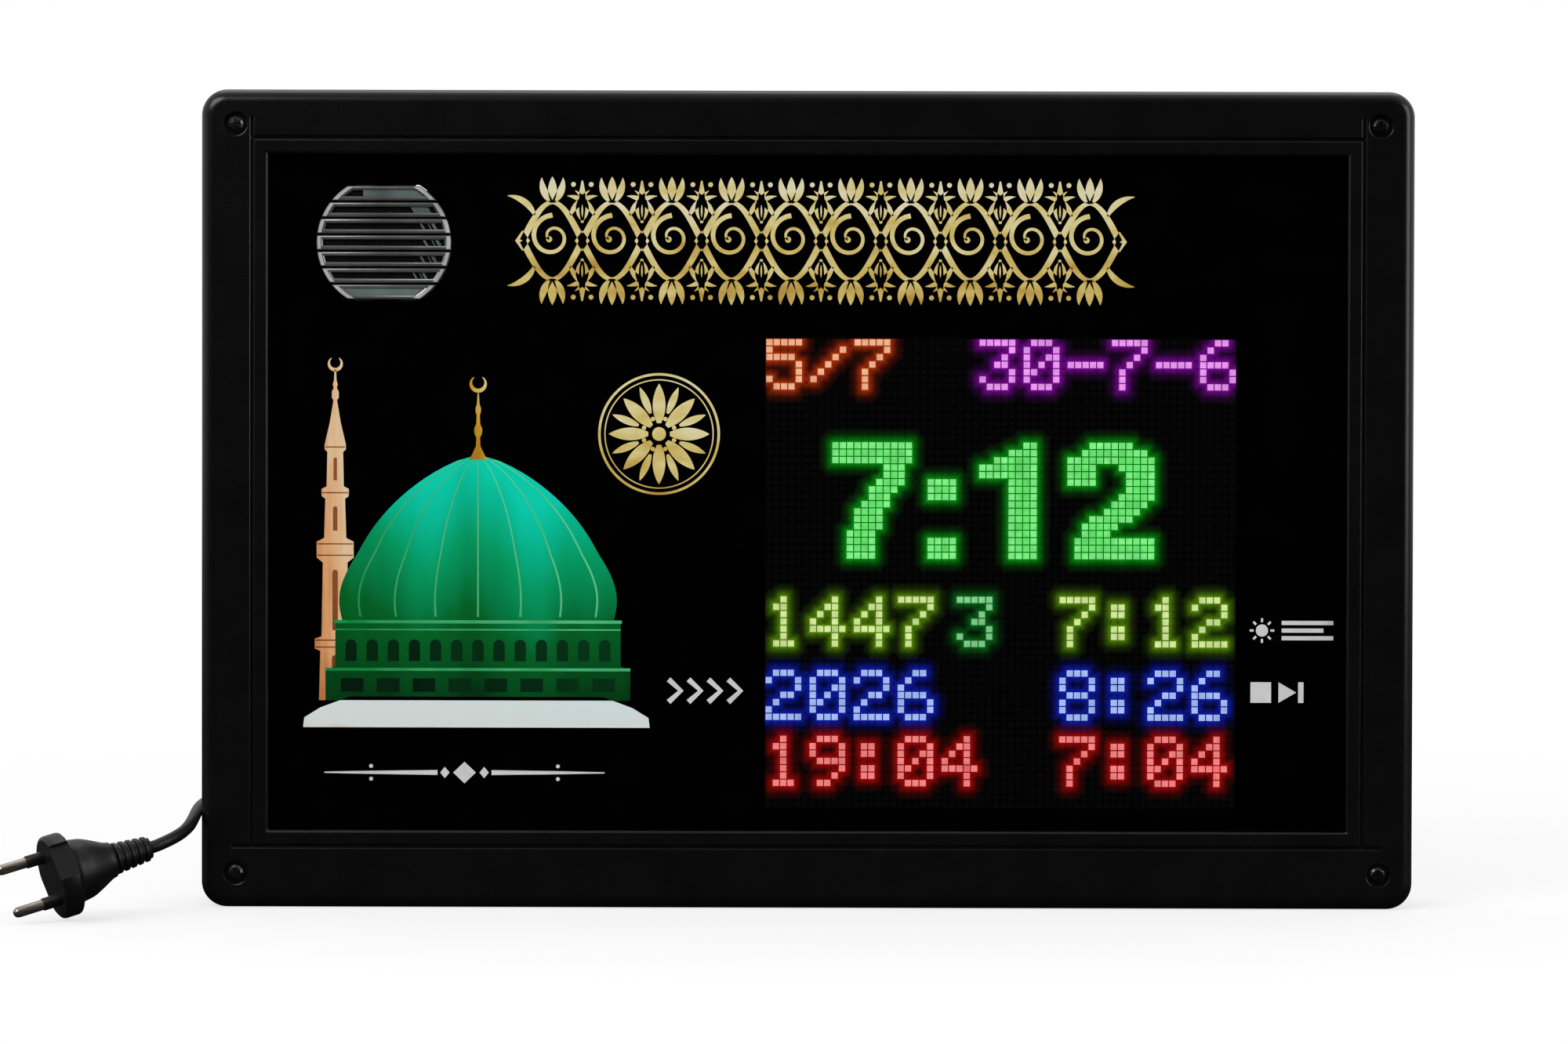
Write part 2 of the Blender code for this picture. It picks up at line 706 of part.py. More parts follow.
def frame_parts():
    """Four straight rails between four moulded corners."""
    blank = frame_blank()
    side = CASE_WIDTH / 2
    near = depth(-CUT_OVERRUN)
    far = depth(CASE_DEPTH + CUT_OVERRUN)
    reach = CORNER_REACH
    half_seam = GAP / 2
    rail_x = side - reach - half_seam
    rail_low = reach + half_seam
    rail_high = CASE_HEIGHT - reach - half_seam
    middle = CASE_HEIGHT / 2
    past = CUT_OVERRUN
    rails = {
        "top_rail": ((-rail_x, near, middle), (rail_x, far, CASE_HEIGHT + past)),
        "bottom_rail": ((-rail_x, near, -past), (rail_x, far, middle)),
        "left_rail": ((-side - past, near, rail_low), (0.0, far, rail_high)),
        "right_rail": ((0.0, near, rail_low), (side + past, far, rail_high)),
    }
    for name, (low, high) in rails.items():
        boolean(box(name, low, high, BLACK_PLASTIC), blank, "INTERSECT")
    for name, (x, z) in corner_points(0.0).items():
        inner_x = math.copysign(side - reach + half_seam, x)
        outer_x = math.copysign(side + past, x)
        inner_z = reach - half_seam if z == 0.0 else CASE_HEIGHT - reach + half_seam
        outer_z = -past if z == 0.0 else CASE_HEIGHT + past
        low = (min(inner_x, outer_x), near, min(inner_z, outer_z))
        high = (max(inner_x, outer_x), far, max(inner_z, outer_z))
        boolean(box("corner_" + name, low, high, CAP_PLASTIC), blank, "INTERSECT")


def screw(name, head_at, toward, length, look):
    """A pan-head screw with a cross recess; head_at is under its head."""
    direction = Vector(toward)
    top = Vector(head_at) + direction * SCREW_HEAD_HEIGHT
    profile = [
        (0.0, 0.0),
        (SCREW_HEAD_RADIUS * 0.7, SCREW_HEAD_HEIGHT * 0.15),
        (SCREW_HEAD_RADIUS, SCREW_HEAD_HEIGHT * 0.6),
        (SCREW_HEAD_RADIUS, SCREW_HEAD_HEIGHT),
        (SCREW_RADIUS, SCREW_HEAD_HEIGHT),
        (SCREW_RADIUS, SCREW_HEAD_HEIGHT + length - SCREW_RADIUS),
        (0.0, SCREW_HEAD_HEIGHT + length),
    ]
    made = turned(name, profile, top, direction, look, SCREW_SIDES)
    bm = bmesh.new()
    half_long = SCREW_SLOT_LENGTH / 2
    half_wide = SCREW_SLOT_WIDTH / 2
    frame = axis_frame(top, direction)
    add_box(
        bm,
        (-half_long, -half_wide, -SCREW_SLOT_DEPTH),
        (half_long, half_wide, SCREW_HEAD_HEIGHT),
    )
    bmesh.ops.transform(bm, matrix=frame, verts=bm.verts)
    first = mesh_object(name + "_slot", bm)
    bm = bmesh.new()
    add_box(
        bm,
        (-half_wide, -half_long, -SCREW_SLOT_DEPTH),
        (half_wide, half_long, SCREW_HEAD_HEIGHT),
    )
    bmesh.ops.transform(bm, matrix=frame, verts=bm.verts)
    second = mesh_object(name + "_cross", bm)
    return boolean(boolean(made, first), second)


def corner_fixings():
    """A metal angle behind each corner, and the screw that holds it."""
    front = LIP_BACK
    back = front + BRACKET_THICKNESS
    for name, (x, z) in corner_points(BRACKET_INSET).items():
        inward_x = -math.copysign(1.0, x)
        inward_z = 1.0 if name.startswith("bottom") else -1.0
        outline = [
            (x + inward_x * BRACKET_CORNER, z),
            (x + inward_x * BRACKET_LENGTH, z),
            (x + inward_x * BRACKET_LENGTH, z + inward_z * BRACKET_WIDTH),
            (x + inward_x * BRACKET_WIDTH, z + inward_z * BRACKET_WIDTH),
            (x + inward_x * BRACKET_WIDTH, z + inward_z * BRACKET_LENGTH),
            (x, z + inward_z * BRACKET_LENGTH),
            (x, z + inward_z * BRACKET_CORNER),
        ]
        made = plate("corner_bracket_" + name, outline, front, back, STEEL)
        hole_x, hole_z = corner_points(CORNER_SCREW_INSET)[name]
        near = depth(front - CUT_OVERRUN)
        far = depth(back + CUT_OVERRUN)
        hole = rods(
            name + "_bracket_hole",
            SCREW_RADIUS + GAP,
            [((hole_x, near, hole_z), (hole_x, far, hole_z))],
        )
        boolean(made, hole)
        under_head = (hole_x, depth(CORNER_SCREW_WELL - GAP), hole_z)
        screw("corner_screw_" + name, under_head, (0, -1, 0), CORNER_SCREW_LENGTH, SCREW_STEEL)


def grille_outline(grow):
    """A circle cut flat at its top and bottom, grown by a clearance."""
    radius = GRILLE_RADIUS + grow
    end = math.degrees(math.asin((GRILLE_HALF_HEIGHT + grow) / radius))
    centre = (SPEAKER_X, SPEAKER_Z)
    right = arc(centre, radius, -end, end, GRILLE_ARC_STEPS)
    return right + arc(centre, radius, 180 - end, 180 + end, GRILLE_ARC_STEPS)


def front_sheets():
    """The clear front sheet and the printed black film behind it."""
    margin = SHEET_MARGIN
    low = (WINDOW_LEFT - margin, WINDOW_BOTTOM - margin)
    high = (WINDOW_RIGHT + margin, WINDOW_TOP + margin)
    sheet_back = LIP_BACK + SHEET_THICKNESS
    sheet = box(
        "acrylic_front",
        (low[0], depth(LIP_BACK), low[1]),
        (high[0], depth(sheet_back), high[1]),
        CLEAR_ACRYLIC,
    )
    film = box(
        "printed_film",
        (low[0], depth(FILM_FRONT), low[1]),
        (high[0], depth(FILM_BACK), high[1]),
        BLACK_FILM,
    )
    hole = plate(
        "grille_hole",
        grille_outline(GAP),
        LIP_BACK - CUT_OVERRUN,
        FILM_BACK + CUT_OVERRUN,
    )
    half = MODULE_SIZE / 2 + GAP
    window = boxes(
        "matrix_window",
        [
            (
                (MODULE_X - half, depth(FILM_FRONT - GAP / 2), MODULE_Z - half),
                (MODULE_X + half, depth(FILM_BACK + CUT_OVERRUN), MODULE_Z + half),
            )
        ],
    )
    boolean(sheet, hole)
    boolean(film, hole)
    boolean(film, window)


def speaker_grille():
    """A louvred insert that stands a little proud of the front sheet."""
    made = plate("speaker_grille", grille_outline(0.0), GRILLE_FRONT, GRILLE_BACK, CHROME)
    rounding = made.modifiers.new("edges", "BEVEL")
    rounding.width = GRILLE_PROUD / 2
    rounding.segments = 2
    rounding.angle_limit = math.radians(SHARP_DEGREES)
    pitch = 2 * GRILLE_HALF_HEIGHT / GRILLE_BANDS
    slots = []
    for index in range(1, GRILLE_BANDS):
        z = -GRILLE_HALF_HEIGHT + index * pitch
        half = math.sqrt(GRILLE_RADIUS**2 - z**2) - GRILLE_RIM
        slots.append(
            (
                (SPEAKER_X - half, depth(GRILLE_FRONT - CUT_OVERRUN), SPEAKER_Z + z - GRILLE_SLOT / 2),
                (SPEAKER_X + half, depth(GRILLE_BACK + CUT_OVERRUN), SPEAKER_Z + z + GRILLE_SLOT / 2),
            )
        )
    boolean(made, boxes("grille_slots", slots))


def speaker():
    """Basket, magnet, roll surround and the moving cone, front to back."""
    rim_front = GRILLE_BACK + GAP
    rim_back = rim_front + BASKET_RIM_DEPTH
    back = rim_front + BASKET_DEPTH
    inner_rim = BASKET_RADIUS - 2 * BASKET_WALL
    centre = (SPEAKER_X, depth(0.0), SPEAKER_Z)
    toward = (0, -1, 0)
    basket = [
        (inner_rim, rim_front),
        (BASKET_RADIUS, rim_front),
        (BASKET_RADIUS, rim_back),
        (BASKET_BACK_RADIUS, back),
        (CONE_NECK_RADIUS + GAP + CONE_WALL, back),
        (CONE_NECK_RADIUS + GAP + CONE_WALL, back - BASKET_WALL),
        (BASKET_BACK_RADIUS - BASKET_WALL, back - BASKET_WALL),
        (inner_rim, rim_back),
    ]
    turned("speaker_basket", basket, centre, toward, STEEL)
    magnet_front = back + GAP
    magnet = [
        (0.0, magnet_front),
        (MAGNET_RADIUS, magnet_front),
        (MAGNET_RADIUS, magnet_front + MAGNET_DEPTH),
        (0.0, magnet_front + MAGNET_DEPTH),
    ]
    turned("speaker_magnet", magnet, centre, toward, MAGNET_GREY)
    roll_outer = inner_rim - GAP
    roll_inner = roll_outer - SURROUND_WIDTH
    roll_middle = (roll_outer + roll_inner) / 2
    roll_front = rim_front + CONE_TRAVEL
    roll = [
        (roll_inner, roll_front + SURROUND_ROLL),
        (roll_middle, roll_front),
        (roll_outer, roll_front + SURROUND_ROLL),
        (roll_outer, roll_front + SURROUND_ROLL + CONE_WALL),
        (roll_middle, roll_front + CONE_WALL),
        (roll_inner, roll_front + SURROUND_ROLL + CONE_WALL),
    ]
    turned("speaker_surround", roll, centre, toward, RUBBER)
    cone_front = roll_front + SURROUND_ROLL
    cone_outer = roll_inner - GAP
    neck = cone_front + CONE_DEPTH
    cone = [
        (0.0, neck - CONE_DEPTH * 0.5),
        (CONE_NECK_RADIUS * 0.6, neck - CONE_DEPTH * 0.4),
        (CONE_NECK_RADIUS, neck - CONE_DEPTH * 0.1),
        (cone_outer, cone_front),
        (cone_outer, cone_front + CONE_WALL),
        (CONE_NECK_RADIUS, neck + CONE_WALL),
        (CONE_NECK_RADIUS, back - COIL_FORMER_DEPTH),
        (0.0, back - COIL_FORMER_DEPTH),
    ]
    made = turned("speaker_cone", cone, centre, toward, PAPER)
    centre_origin(made, (SPEAKER_X, depth(cone_front), SPEAKER_Z))


def module_square(size, front, back):
    """Corners of a square plate on the display's centre."""
    half = size / 2
    low = (MODULE_X - half, depth(front), MODULE_Z - half)
    high = (MODULE_X + half, depth(back), MODULE_Z + half)
    return low, high


def display_module():
    """Face mask with the light dots, circuit board and moulded back frame."""
    mask_back = FILM_FRONT + MASK_THICKNESS
    box("led_mask", *module_square(MODULE_SIZE, FILM_FRONT, mask_back), MASK_BLACK)
    board_front = mask_back + GAP
    board_back = board_front + BOARD_THICKNESS
    board_size = MODULE_SIZE - 2 * BOARD_MARGIN
    box("led_board", *module_square(board_size, board_front, board_back), CIRCUIT_GREEN)
    frame_front = board_back + GAP
    frame_back = frame_front + BACK_FRAME_DEPTH
    frame_size = MODULE_SIZE - 2 * BACK_FRAME_MARGIN
    made = box("led_back_frame", *module_square(frame_size, frame_front, frame_back), BLACK_PLASTIC)
    bay = (frame_size - 3 * BACK_FRAME_BAR) / 2
    bays = []
    for x in (-1, 1):
        for z in (-1, 1):
            centre_x = MODULE_X + x * (bay + BACK_FRAME_BAR) / 2
            centre_z = MODULE_Z + z * (bay + BACK_FRAME_BAR) / 2
            bays.append(
                (
                    (centre_x - bay / 2, depth(frame_front - CUT_OVERRUN), centre_z - bay / 2),
                    (centre_x + bay / 2, depth(frame_back + CUT_OVERRUN), centre_z + bay / 2),
                )
            )
    boolean(made, boxes("back_frame_bays", bays))
    return frame_back


def keyhole(x, front, back, name):
    """A keyhole's cutter: a round hole for the head and a slot above it."""
    bm = bmesh.new()
    start = (x, depth(front), HANGER_Z - KEYHOLE_DROP)
    end = (x, depth(back), HANGER_Z - KEYHOLE_DROP)
    add_rod(bm, KEYHOLE_HEAD_RADIUS, start, end)
    round_hole = mesh_object(name + "_head", bm)
    outline = arc((x, HANGER_Z), KEYHOLE_SLOT_RADIUS, 0, 180, CORNER_STEPS)
    outline += [
        (x - KEYHOLE_SLOT_RADIUS, HANGER_Z - KEYHOLE_DROP),
        (x + KEYHOLE_SLOT_RADIUS, HANGER_Z - KEYHOLE_DROP),
    ]
    return round_hole, plate(name + "_slot", outline, front, back)


def button_places():
    """Where the set buttons stand on the rear cover."""
    return [BUTTON_X + index * BUTTON_PITCH for index in range(BUTTON_COUNT)]


def rear_cover():
    """A recessed cover with vents, hanger openings and holes for controls and cord."""
    inset = SIDE_WALL + COVER_GAP
    made = plate("rear_cover", case_outline(inset), COVER_FRONT, COVER_BACK, BOARD_PLASTIC)
    near = COVER_FRONT - CUT_OVERRUN
    far = COVER_BACK + CUT_OVERRUN
    vents = []
    for side in (-1, 1):
        for row in range(VENT_ROWS):
            x = side * VENT_X
            z = VENT_Z + (row - (VENT_ROWS - 1) / 2) * VENT_PITCH
            vents.append(
                (
                    (x - VENT_LENGTH / 2, depth(near), z - VENT_HEIGHT / 2),
                    (x + VENT_LENGTH / 2, depth(far), z + VENT_HEIGHT / 2),
                )
            )
    boolean(made, boxes("vent_slots", vents))
    pass_through = [
        ("cover_screw_holes", SCREW_RADIUS + GAP, list(cover_screw_points().values())),
        ("button_holes", BUTTON_RADIUS + GAP, [(x, CONTROL_Z) for x in button_places()]),
        ("shaft_hole", SHAFT_RADIUS + GAP, [(KNOB_X, CONTROL_Z)]),
        ("gland_hole", GLAND_NECK_RADIUS + GAP, [(GLAND_X, GLAND_Z)]),
    ]
    for name, radius, places in pass_through:
        lines = [((x, depth(near), z), (x, depth(far), z)) for x, z in places]
        boolean(made, rods(name, radius, lines))
    pocket_low = HANGER_Z - KEYHOLE_DROP - KEYHOLE_HEAD_RADIUS - KEYHOLE_POCKET
    pocket_high = HANGER_Z + KEYHOLE_HEAD_RADIUS + KEYHOLE_POCKET
    pocket_half = KEYHOLE_HEAD_RADIUS + KEYHOLE_POCKET
    pockets = [
        (
            (side * HANGER_X - pocket_half, depth(near), pocket_low),
            (side * HANGER_X + pocket_half, depth(far), pocket_high),
        )
        for side in (-1, 1)
    ]
    boolean(made, boxes("keyhole_pockets", pockets))
    for name, (x, z) in cover_screw_points().items():
        under_head = (x, depth(COVER_BACK + GAP), z)
        screw("cover_screw_" + name, under_head, (0, 1, 0), COVER_SCREW_LENGTH, SCREW_STEEL)


def hangers():
    """Two metal keyhole plates over the openings in the cover."""
    front = COVER_BACK + GAP
    back = front + HANGER_THICKNESS
    middle = HANGER_Z - KEYHOLE_DROP / 2
    for side, name in ((-1, "hanger_left"), (1, "hanger_right")):
        x = side * HANGER_X
        outline = rounded_outline(
            x - HANGER_WIDTH / 2,
            x + HANGER_WIDTH / 2,
            middle - HANGER_HEIGHT / 2,
            middle + HANGER_HEIGHT / 2,
            KEYHOLE_SLOT_RADIUS,
        )
        made = plate(name, outline, front, back, STEEL)
        for cutter in keyhole(x, front - CUT_OVERRUN, back + CUT_OVERRUN, name):
            boolean(made, cutter)


def controls():
    """Set buttons, their switch board, and the volume knob with its potentiometer."""
    names = ("button_menu", "button_up", "button_down", "button_set")
    flange_back = COVER_FRONT - GAP
    flange_front = flange_back - BUTTON_FLANGE
    tip = COVER_BACK + BUTTON_PROUD
    stem_front = flange_front - BUTTON_STEM
    for name, x in zip(names, button_places()):
        profile = [
            (0.0, -tip),
            (BUTTON_RADIUS - BUTTON_FLANGE / 2, -tip),
            (BUTTON_RADIUS, -tip + BUTTON_FLANGE / 2),
            (BUTTON_RADIUS, -flange_back),
            (BUTTON_FLANGE_RADIUS, -flange_back),
            (BUTTON_FLANGE_RADIUS, -flange_front),
            (BUTTON_STEM_RADIUS, -flange_front),
            (BUTTON_STEM_RADIUS, -stem_front),
            (0.0, -stem_front),
        ]
        centre = (x, depth(0.0), CONTROL_Z)
        made = turned(name, profile, centre, (0, 1, 0), BUTTON_GREY, SMALL_ROUND)
        centre_origin(made, (x, depth(flange_back), CONTROL_Z))
    switch_back = stem_front - BUTTON_TRAVEL - GAP
    board_back = switch_back - SWITCH_HEIGHT
    board_front = board_back - BOARD_THICKNESS
    half_high = SWITCH_SIZE / 2 + CONTROL_BOARD_MARGIN
    first = button_places()[0]
    last = button_places()[-1]
    board = box(
        "button_board",
        (first - half_high, depth(board_front), CONTROL_Z - half_high),
        (last + half_high, depth(board_back), CONTROL_Z + half_high),
        CIRCUIT_GREEN,
    )
    half = SWITCH_SIZE / 2
    sunk = BOARD_THICKNESS / 2
    switches = boxes(
        "switch_bodies",
        [
            (
                (x - half, depth(board_back - sunk), CONTROL_Z - half),
                (x + half, depth(switch_back), CONTROL_Z + half),
            )
            for x in button_places()
        ],
    )
    boolean(board, switches, "UNION")
    posts = []
    for x in (first - half_high + STANDOFF_INSET / 2, last + half_high - STANDOFF_INSET / 2):
        start = (x, depth(board_back - sunk), CONTROL_Z + half_high - STANDOFF_INSET / 2)
        end = (x, depth(COVER_FRONT - GAP), CONTROL_Z + half_high - STANDOFF_INSET / 2)
        posts.append((start, end))
    boolean(board, rods("button_board_posts", STANDOFF_RADIUS / 2, posts), "UNION")
    volume_control()


def volume_control():
    """A fluted knob on its shaft, and the potentiometer inside the cover."""
    base = COVER_BACK + GAP
    top = base + KNOB_HEIGHT
    inner_end = COVER_FRONT - SHAFT_INSIDE
    edge = KNOB_POINTER_WIDTH / 2
    profile = [
        (0.0, -top),
        (KNOB_RADIUS - 2 * edge, -top),
        (KNOB_RADIUS - edge, -top + edge),
        (KNOB_RADIUS, -base),
        (SHAFT_RADIUS, -base),
        (SHAFT_RADIUS, -inner_end),
        (0.0, -inner_end),
    ]
    centre = (KNOB_X, depth(0.0), CONTROL_Z)
    knob = turned("volume_knob", profile, centre, (0, 1, 0), BUTTON_GREY, 2 * KNOB_FLUTES)
    flutes = []
    for index in range(KNOB_FLUTES):
        angle = 2 * math.pi * (index + 0.5) / KNOB_FLUTES
        x = KNOB_X + (KNOB_RADIUS + KNOB_FLUTE_RADIUS / 3) * math.cos(angle)
        z = CONTROL_Z + (KNOB_RADIUS + KNOB_FLUTE_RADIUS / 3) * math.sin(angle)
        start = (x, depth(base + KNOB_FLUTE_RADIUS), z)
        flutes.append((start, (x, depth(top + CUT_OVERRUN), z)))
    boolean(knob, rods("knob_flutes", KNOB_FLUTE_RADIUS, flutes, FEW_SIDES))
    half = KNOB_POINTER_WIDTH / 2
    pointer = boxes(
        "knob_pointer",
        [
            (
                (KNOB_X - half, depth(top - KNOB_POINTER_DEPTH), CONTROL_Z + KNOB_RADIUS / 3),
                (KNOB_X + half, depth(top + CUT_OVERRUN), CONTROL_Z + KNOB_RADIUS + CUT_OVERRUN),
            )
        ],
    )
    boolean(knob, pointer)
    centre_origin(knob, (KNOB_X, depth(base), CONTROL_Z))
    half_pot = POT_SIZE / 2
    pot_back = COVER_FRONT - GAP
    pot = box(
        "volume_pot",
        (KNOB_X - half_pot, depth(pot_back - POT_DEPTH), CONTROL_Z - half_pot),
        (KNOB_X + half_pot, depth(pot_back), CONTROL_Z + half_pot),
        STEEL,
    )
    bore_start = (KNOB_X, depth(inner_end - GAP), CONTROL_Z)
    bore_end = (KNOB_X, depth(pot_back + CUT_OVERRUN), CONTROL_Z)
    boolean(pot, rods("pot_bore", SHAFT_RADIUS + GAP, [(bore_start, bore_end)], ROUND))


def board_with_parts(name, centre, size, back, chips, posts=True):
    """A circuit board held off the cover by posts, with parts on its front side."""
    half_x = size[0] / 2
    half_z = size[1] / 2
    front = back - BOARD_THICKNESS
    made = box(
        name,
        (centre[0] - half_x, depth(front), centre[1] - half_z),
        (centre[0] + half_x, depth(back), centre[1] + half_z),
        CIRCUIT_GREEN,
    )
    sunk = BOARD_THICKNESS / 2
    bodies = []
    for x, z, wide, high, tall in chips:
        bodies.append(
            (
                (centre[0] + x - wide / 2, depth(front - tall), centre[1] + z - high / 2),
                (centre[0] + x + wide / 2, depth(front + sunk), centre[1] + z + high / 2),
            )
        )
    boolean(made, boxes(name + "_chips", bodies), "UNION")
    if posts:
        lines = []
        for x in (-1, 1):
            for z in (-1, 1):
                place_x = centre[0] + x * (half_x - STANDOFF_INSET)
                place_z = centre[1] + z * (half_z - STANDOFF_INSET)
                start = (place_x, depth(back - sunk), place_z)
                lines.append((start, (place_x, depth(COVER_FRONT - GAP), place_z)))
        boolean(made, rods(name + "_posts", STANDOFF_RADIUS, lines, FEW_SIDES), "UNION")
    return made


def electronics(module_back):
    """Power supply, controller, amplifier, backup cell and the wiring between them."""
    back = COVER_FRONT - GAP
    front = back - SUPPLY_DEPTH
    low_x = SUPPLY_X - SUPPLY_WIDTH / 2
    high_x = SUPPLY_X + SUPPLY_WIDTH / 2
    supply = box(
        "power_supply",
        (low_x, depth(front), SUPPLY_Z - SUPPLY_HEIGHT / 2),
        (high_x, depth(back), SUPPLY_Z + SUPPLY_HEIGHT / 2),
        SUPPLY_METAL,
        SUPPLY_EDGE,
    )
    terminal = boxes(
        "supply_terminals",
        [
            (
                (high_x - TERMINAL_WIDTH, depth(front - CUT_OVERRUN), SUPPLY_Z - TERMINAL_HEIGHT / 2),
                (high_x + CUT_OVERRUN, depth(front + TERMINAL_DEPTH), SUPPLY_Z + TERMINAL_HEIGHT / 2),
            )
        ],
    )
    boolean(supply, terminal)
    board_back = back - STANDOFF_HEIGHT
    offset = CONTROLLER_WIDTH / 4
    controller = board_with_parts(
        "controller_board",
        (CONTROLLER_X, CONTROLLER_Z),
        (CONTROLLER_WIDTH, CONTROLLER_HEIGHT),
        board_back,
        [
            (0.0, CHIP_SIZE / 2, CHIP_SIZE, CHIP_SIZE, CHIP_HEIGHT),
            (-offset, 0.0, SOCKET_WIDTH, SOCKET_LENGTH, CHIP_HEIGHT * 2),
        ],
    )
    cell_back = board_back - BOARD_THICKNESS - GAP
    cell_centre = (CONTROLLER_X + CELL_X, depth(0.0), CONTROLLER_Z + CELL_Z)
    cell = [
        (0.0, cell_back - CELL_HEIGHT),
        (CELL_RADIUS * 0.9, cell_back - CELL_HEIGHT),
        (CELL_RADIUS, cell_back - CELL_HEIGHT * 0.7),
        (CELL_RADIUS, cell_back),
        (0.0, cell_back),
    ]
    turned("backup_cell", cell, cell_centre, (0, -1, 0), CELL_METAL)
    amplifier = board_with_parts(
        "amplifier_board",
        (AMPLIFIER_X, AMPLIFIER_Z),
        (AMPLIFIER_WIDTH, AMPLIFIER_HEIGHT),
        board_back,
        [(0.0, 0.0, CHIP_SIZE, CHIP_SIZE, CHIP_HEIGHT)],
    )
    capacitors = []
    board_front = board_back - BOARD_THICKNESS
    for side in (-1, 1):
        x = AMPLIFIER_X + side * (AMPLIFIER_WIDTH / 2 - CAPACITOR_RADIUS - BOARD_THICKNESS)
        start = (x, depth(board_front + BOARD_THICKNESS / 2), AMPLIFIER_Z)
        capacitors.append((start, (x, depth(board_front - CAPACITOR_HEIGHT), AMPLIFIER_Z)))
    boolean(amplifier, rods("amplifier_capacitors", CAPACITOR_RADIUS, capacitors, SCREW_SIDES), "UNION")
    wiring(module_back, controller, high_x, front)


def wiring(module_back, controller, supply_edge, supply_front):
    """The flat display cable, the low-voltage pair, and the mains wire from the gland."""
    ribbon_x = CONTROLLER_X - CONTROLLER_WIDTH / 2 - GAP - RIBBON_WIDTH / 2
    ribbon_low = CONTROLLER_Z - SOCKET_LENGTH / 2
    ribbon_high = CONTROLLER_Z + SOCKET_LENGTH / 2
    box(
        "ribbon_cable",
        (ribbon_x - RIBBON_WIDTH / 2, depth(module_back + GAP), ribbon_low),
        (ribbon_x + RIBBON_WIDTH / 2, depth(module_back + GAP + RIBBON_THICKNESS), ribbon_high),
        RIBBON_GREY,
        RIBBON_THICKNESS / 4,
    )
    start_x = supply_edge - TERMINAL_WIDTH / 2
    terminal_face = supply_front + TERMINAL_DEPTH
    wire_depth = terminal_face - WIRE_RADIUS - GAP
    end_x = MODULE_X - MODULE_SIZE / 2 + BACK_FRAME_BAR
    clear = module_back + GAP + WIRE_RADIUS
    for name, look, step in (("wire_red", RED_WIRE, 1), ("wire_black", BLACK_WIRE, -1)):
        z = SUPPLY_Z + step * TERMINAL_HEIGHT / 6
        span = end_x - start_x
        route = [
            Vector((start_x, depth(wire_depth), z)),
            Vector((start_x + span / 4, depth(wire_depth), z)),
            Vector((start_x + span / 2, depth((wire_depth + clear) / 2), z - step * WIRE_RADIUS)),
            Vector((start_x + span * 3 / 4, depth(clear), z - step * WIRE_RADIUS)),
            Vector((end_x, depth(clear), z)),
        ]
        tube(name, smooth_route(route, CORD_SPACING), WIRE_RADIUS, look)
    inside = COVER_FRONT - GAP - GLAND_COLLAR - GAP
    along = terminal_face - MAINS_WIRE_RADIUS - GAP
    beside = supply_edge + TERMINAL_WIDTH / 2
    entry_z = SUPPLY_Z - TERMINAL_HEIGHT / 3
    bend = MAINS_WIRE_RADIUS * 3
    route = [
        Vector((GLAND_X, depth(inside), GLAND_Z)),
        Vector((GLAND_X, depth(inside - MAINS_WIRE_RADIUS), GLAND_Z)),
        Vector(((GLAND_X + beside) / 2, depth(along), GLAND_Z + bend)),
        Vector((beside, depth(along), GLAND_Z + 3 * bend)),
        Vector((beside, depth(along), entry_z - bend)),
        Vector((supply_edge, depth(along), entry_z)),
        Vector((start_x, depth(along), entry_z)),
    ]
    tube("mains_wire", smooth_route(route, CORD_SPACING / 2), MAINS_WIRE_RADIUS, BLACK_WIRE)


def ribbed_taper(length, start_radius, end_radius, ribs, groove):
    """Profile of a tapered sleeve with ring grooves, from its wide end to its tip."""
    profile = []
    for rib in range(ribs):
        for step_share, drop in RIB_SHARES:
            share = (rib + step_share) / ribs
            radius = start_radius + (end_radius - start_radius) * share - drop * groove
            profile.append((radius, length * share))
    profile.append((end_radius, length))
    return profile


def cord_gland():
    """A strain relief that clips into the rear cover."""
    outer = COVER_BACK + GAP
    inner = COVER_FRONT - GAP
    tip = outer + GLAND_COLLAR + GLAND_LENGTH
    taper = ribbed_taper(
        GLAND_LENGTH, GLAND_NECK_RADIUS, GLAND_TIP_RADIUS, GLAND_RIBS, GLAND_RIB_HEIGHT
    )
    profile = [(0.0, -tip)]
    for radius, along in reversed(taper):
        profile.append((radius, -(outer + GLAND_COLLAR + along)))
    profile += [
        (GLAND_COLLAR_RADIUS, -(outer + GLAND_COLLAR)),
        (GLAND_COLLAR_RADIUS, -outer),
        (GLAND_NECK_RADIUS, -outer),
        (GLAND_NECK_RADIUS, -inner),
        (GLAND_COLLAR_RADIUS, -inner),
        (GLAND_COLLAR_RADIUS, -(inner - GLAND_COLLAR)),
        (0.0, -(inner - GLAND_COLLAR)),
    ]
    centre = (GLAND_X, depth(0.0), GLAND_Z)
    turned("cord_gland", profile, centre, (0, 1, 0), PLUG_BLACK, SMALL_ROUND)
    return Vector((GLAND_X, depth(tip), GLAND_Z))


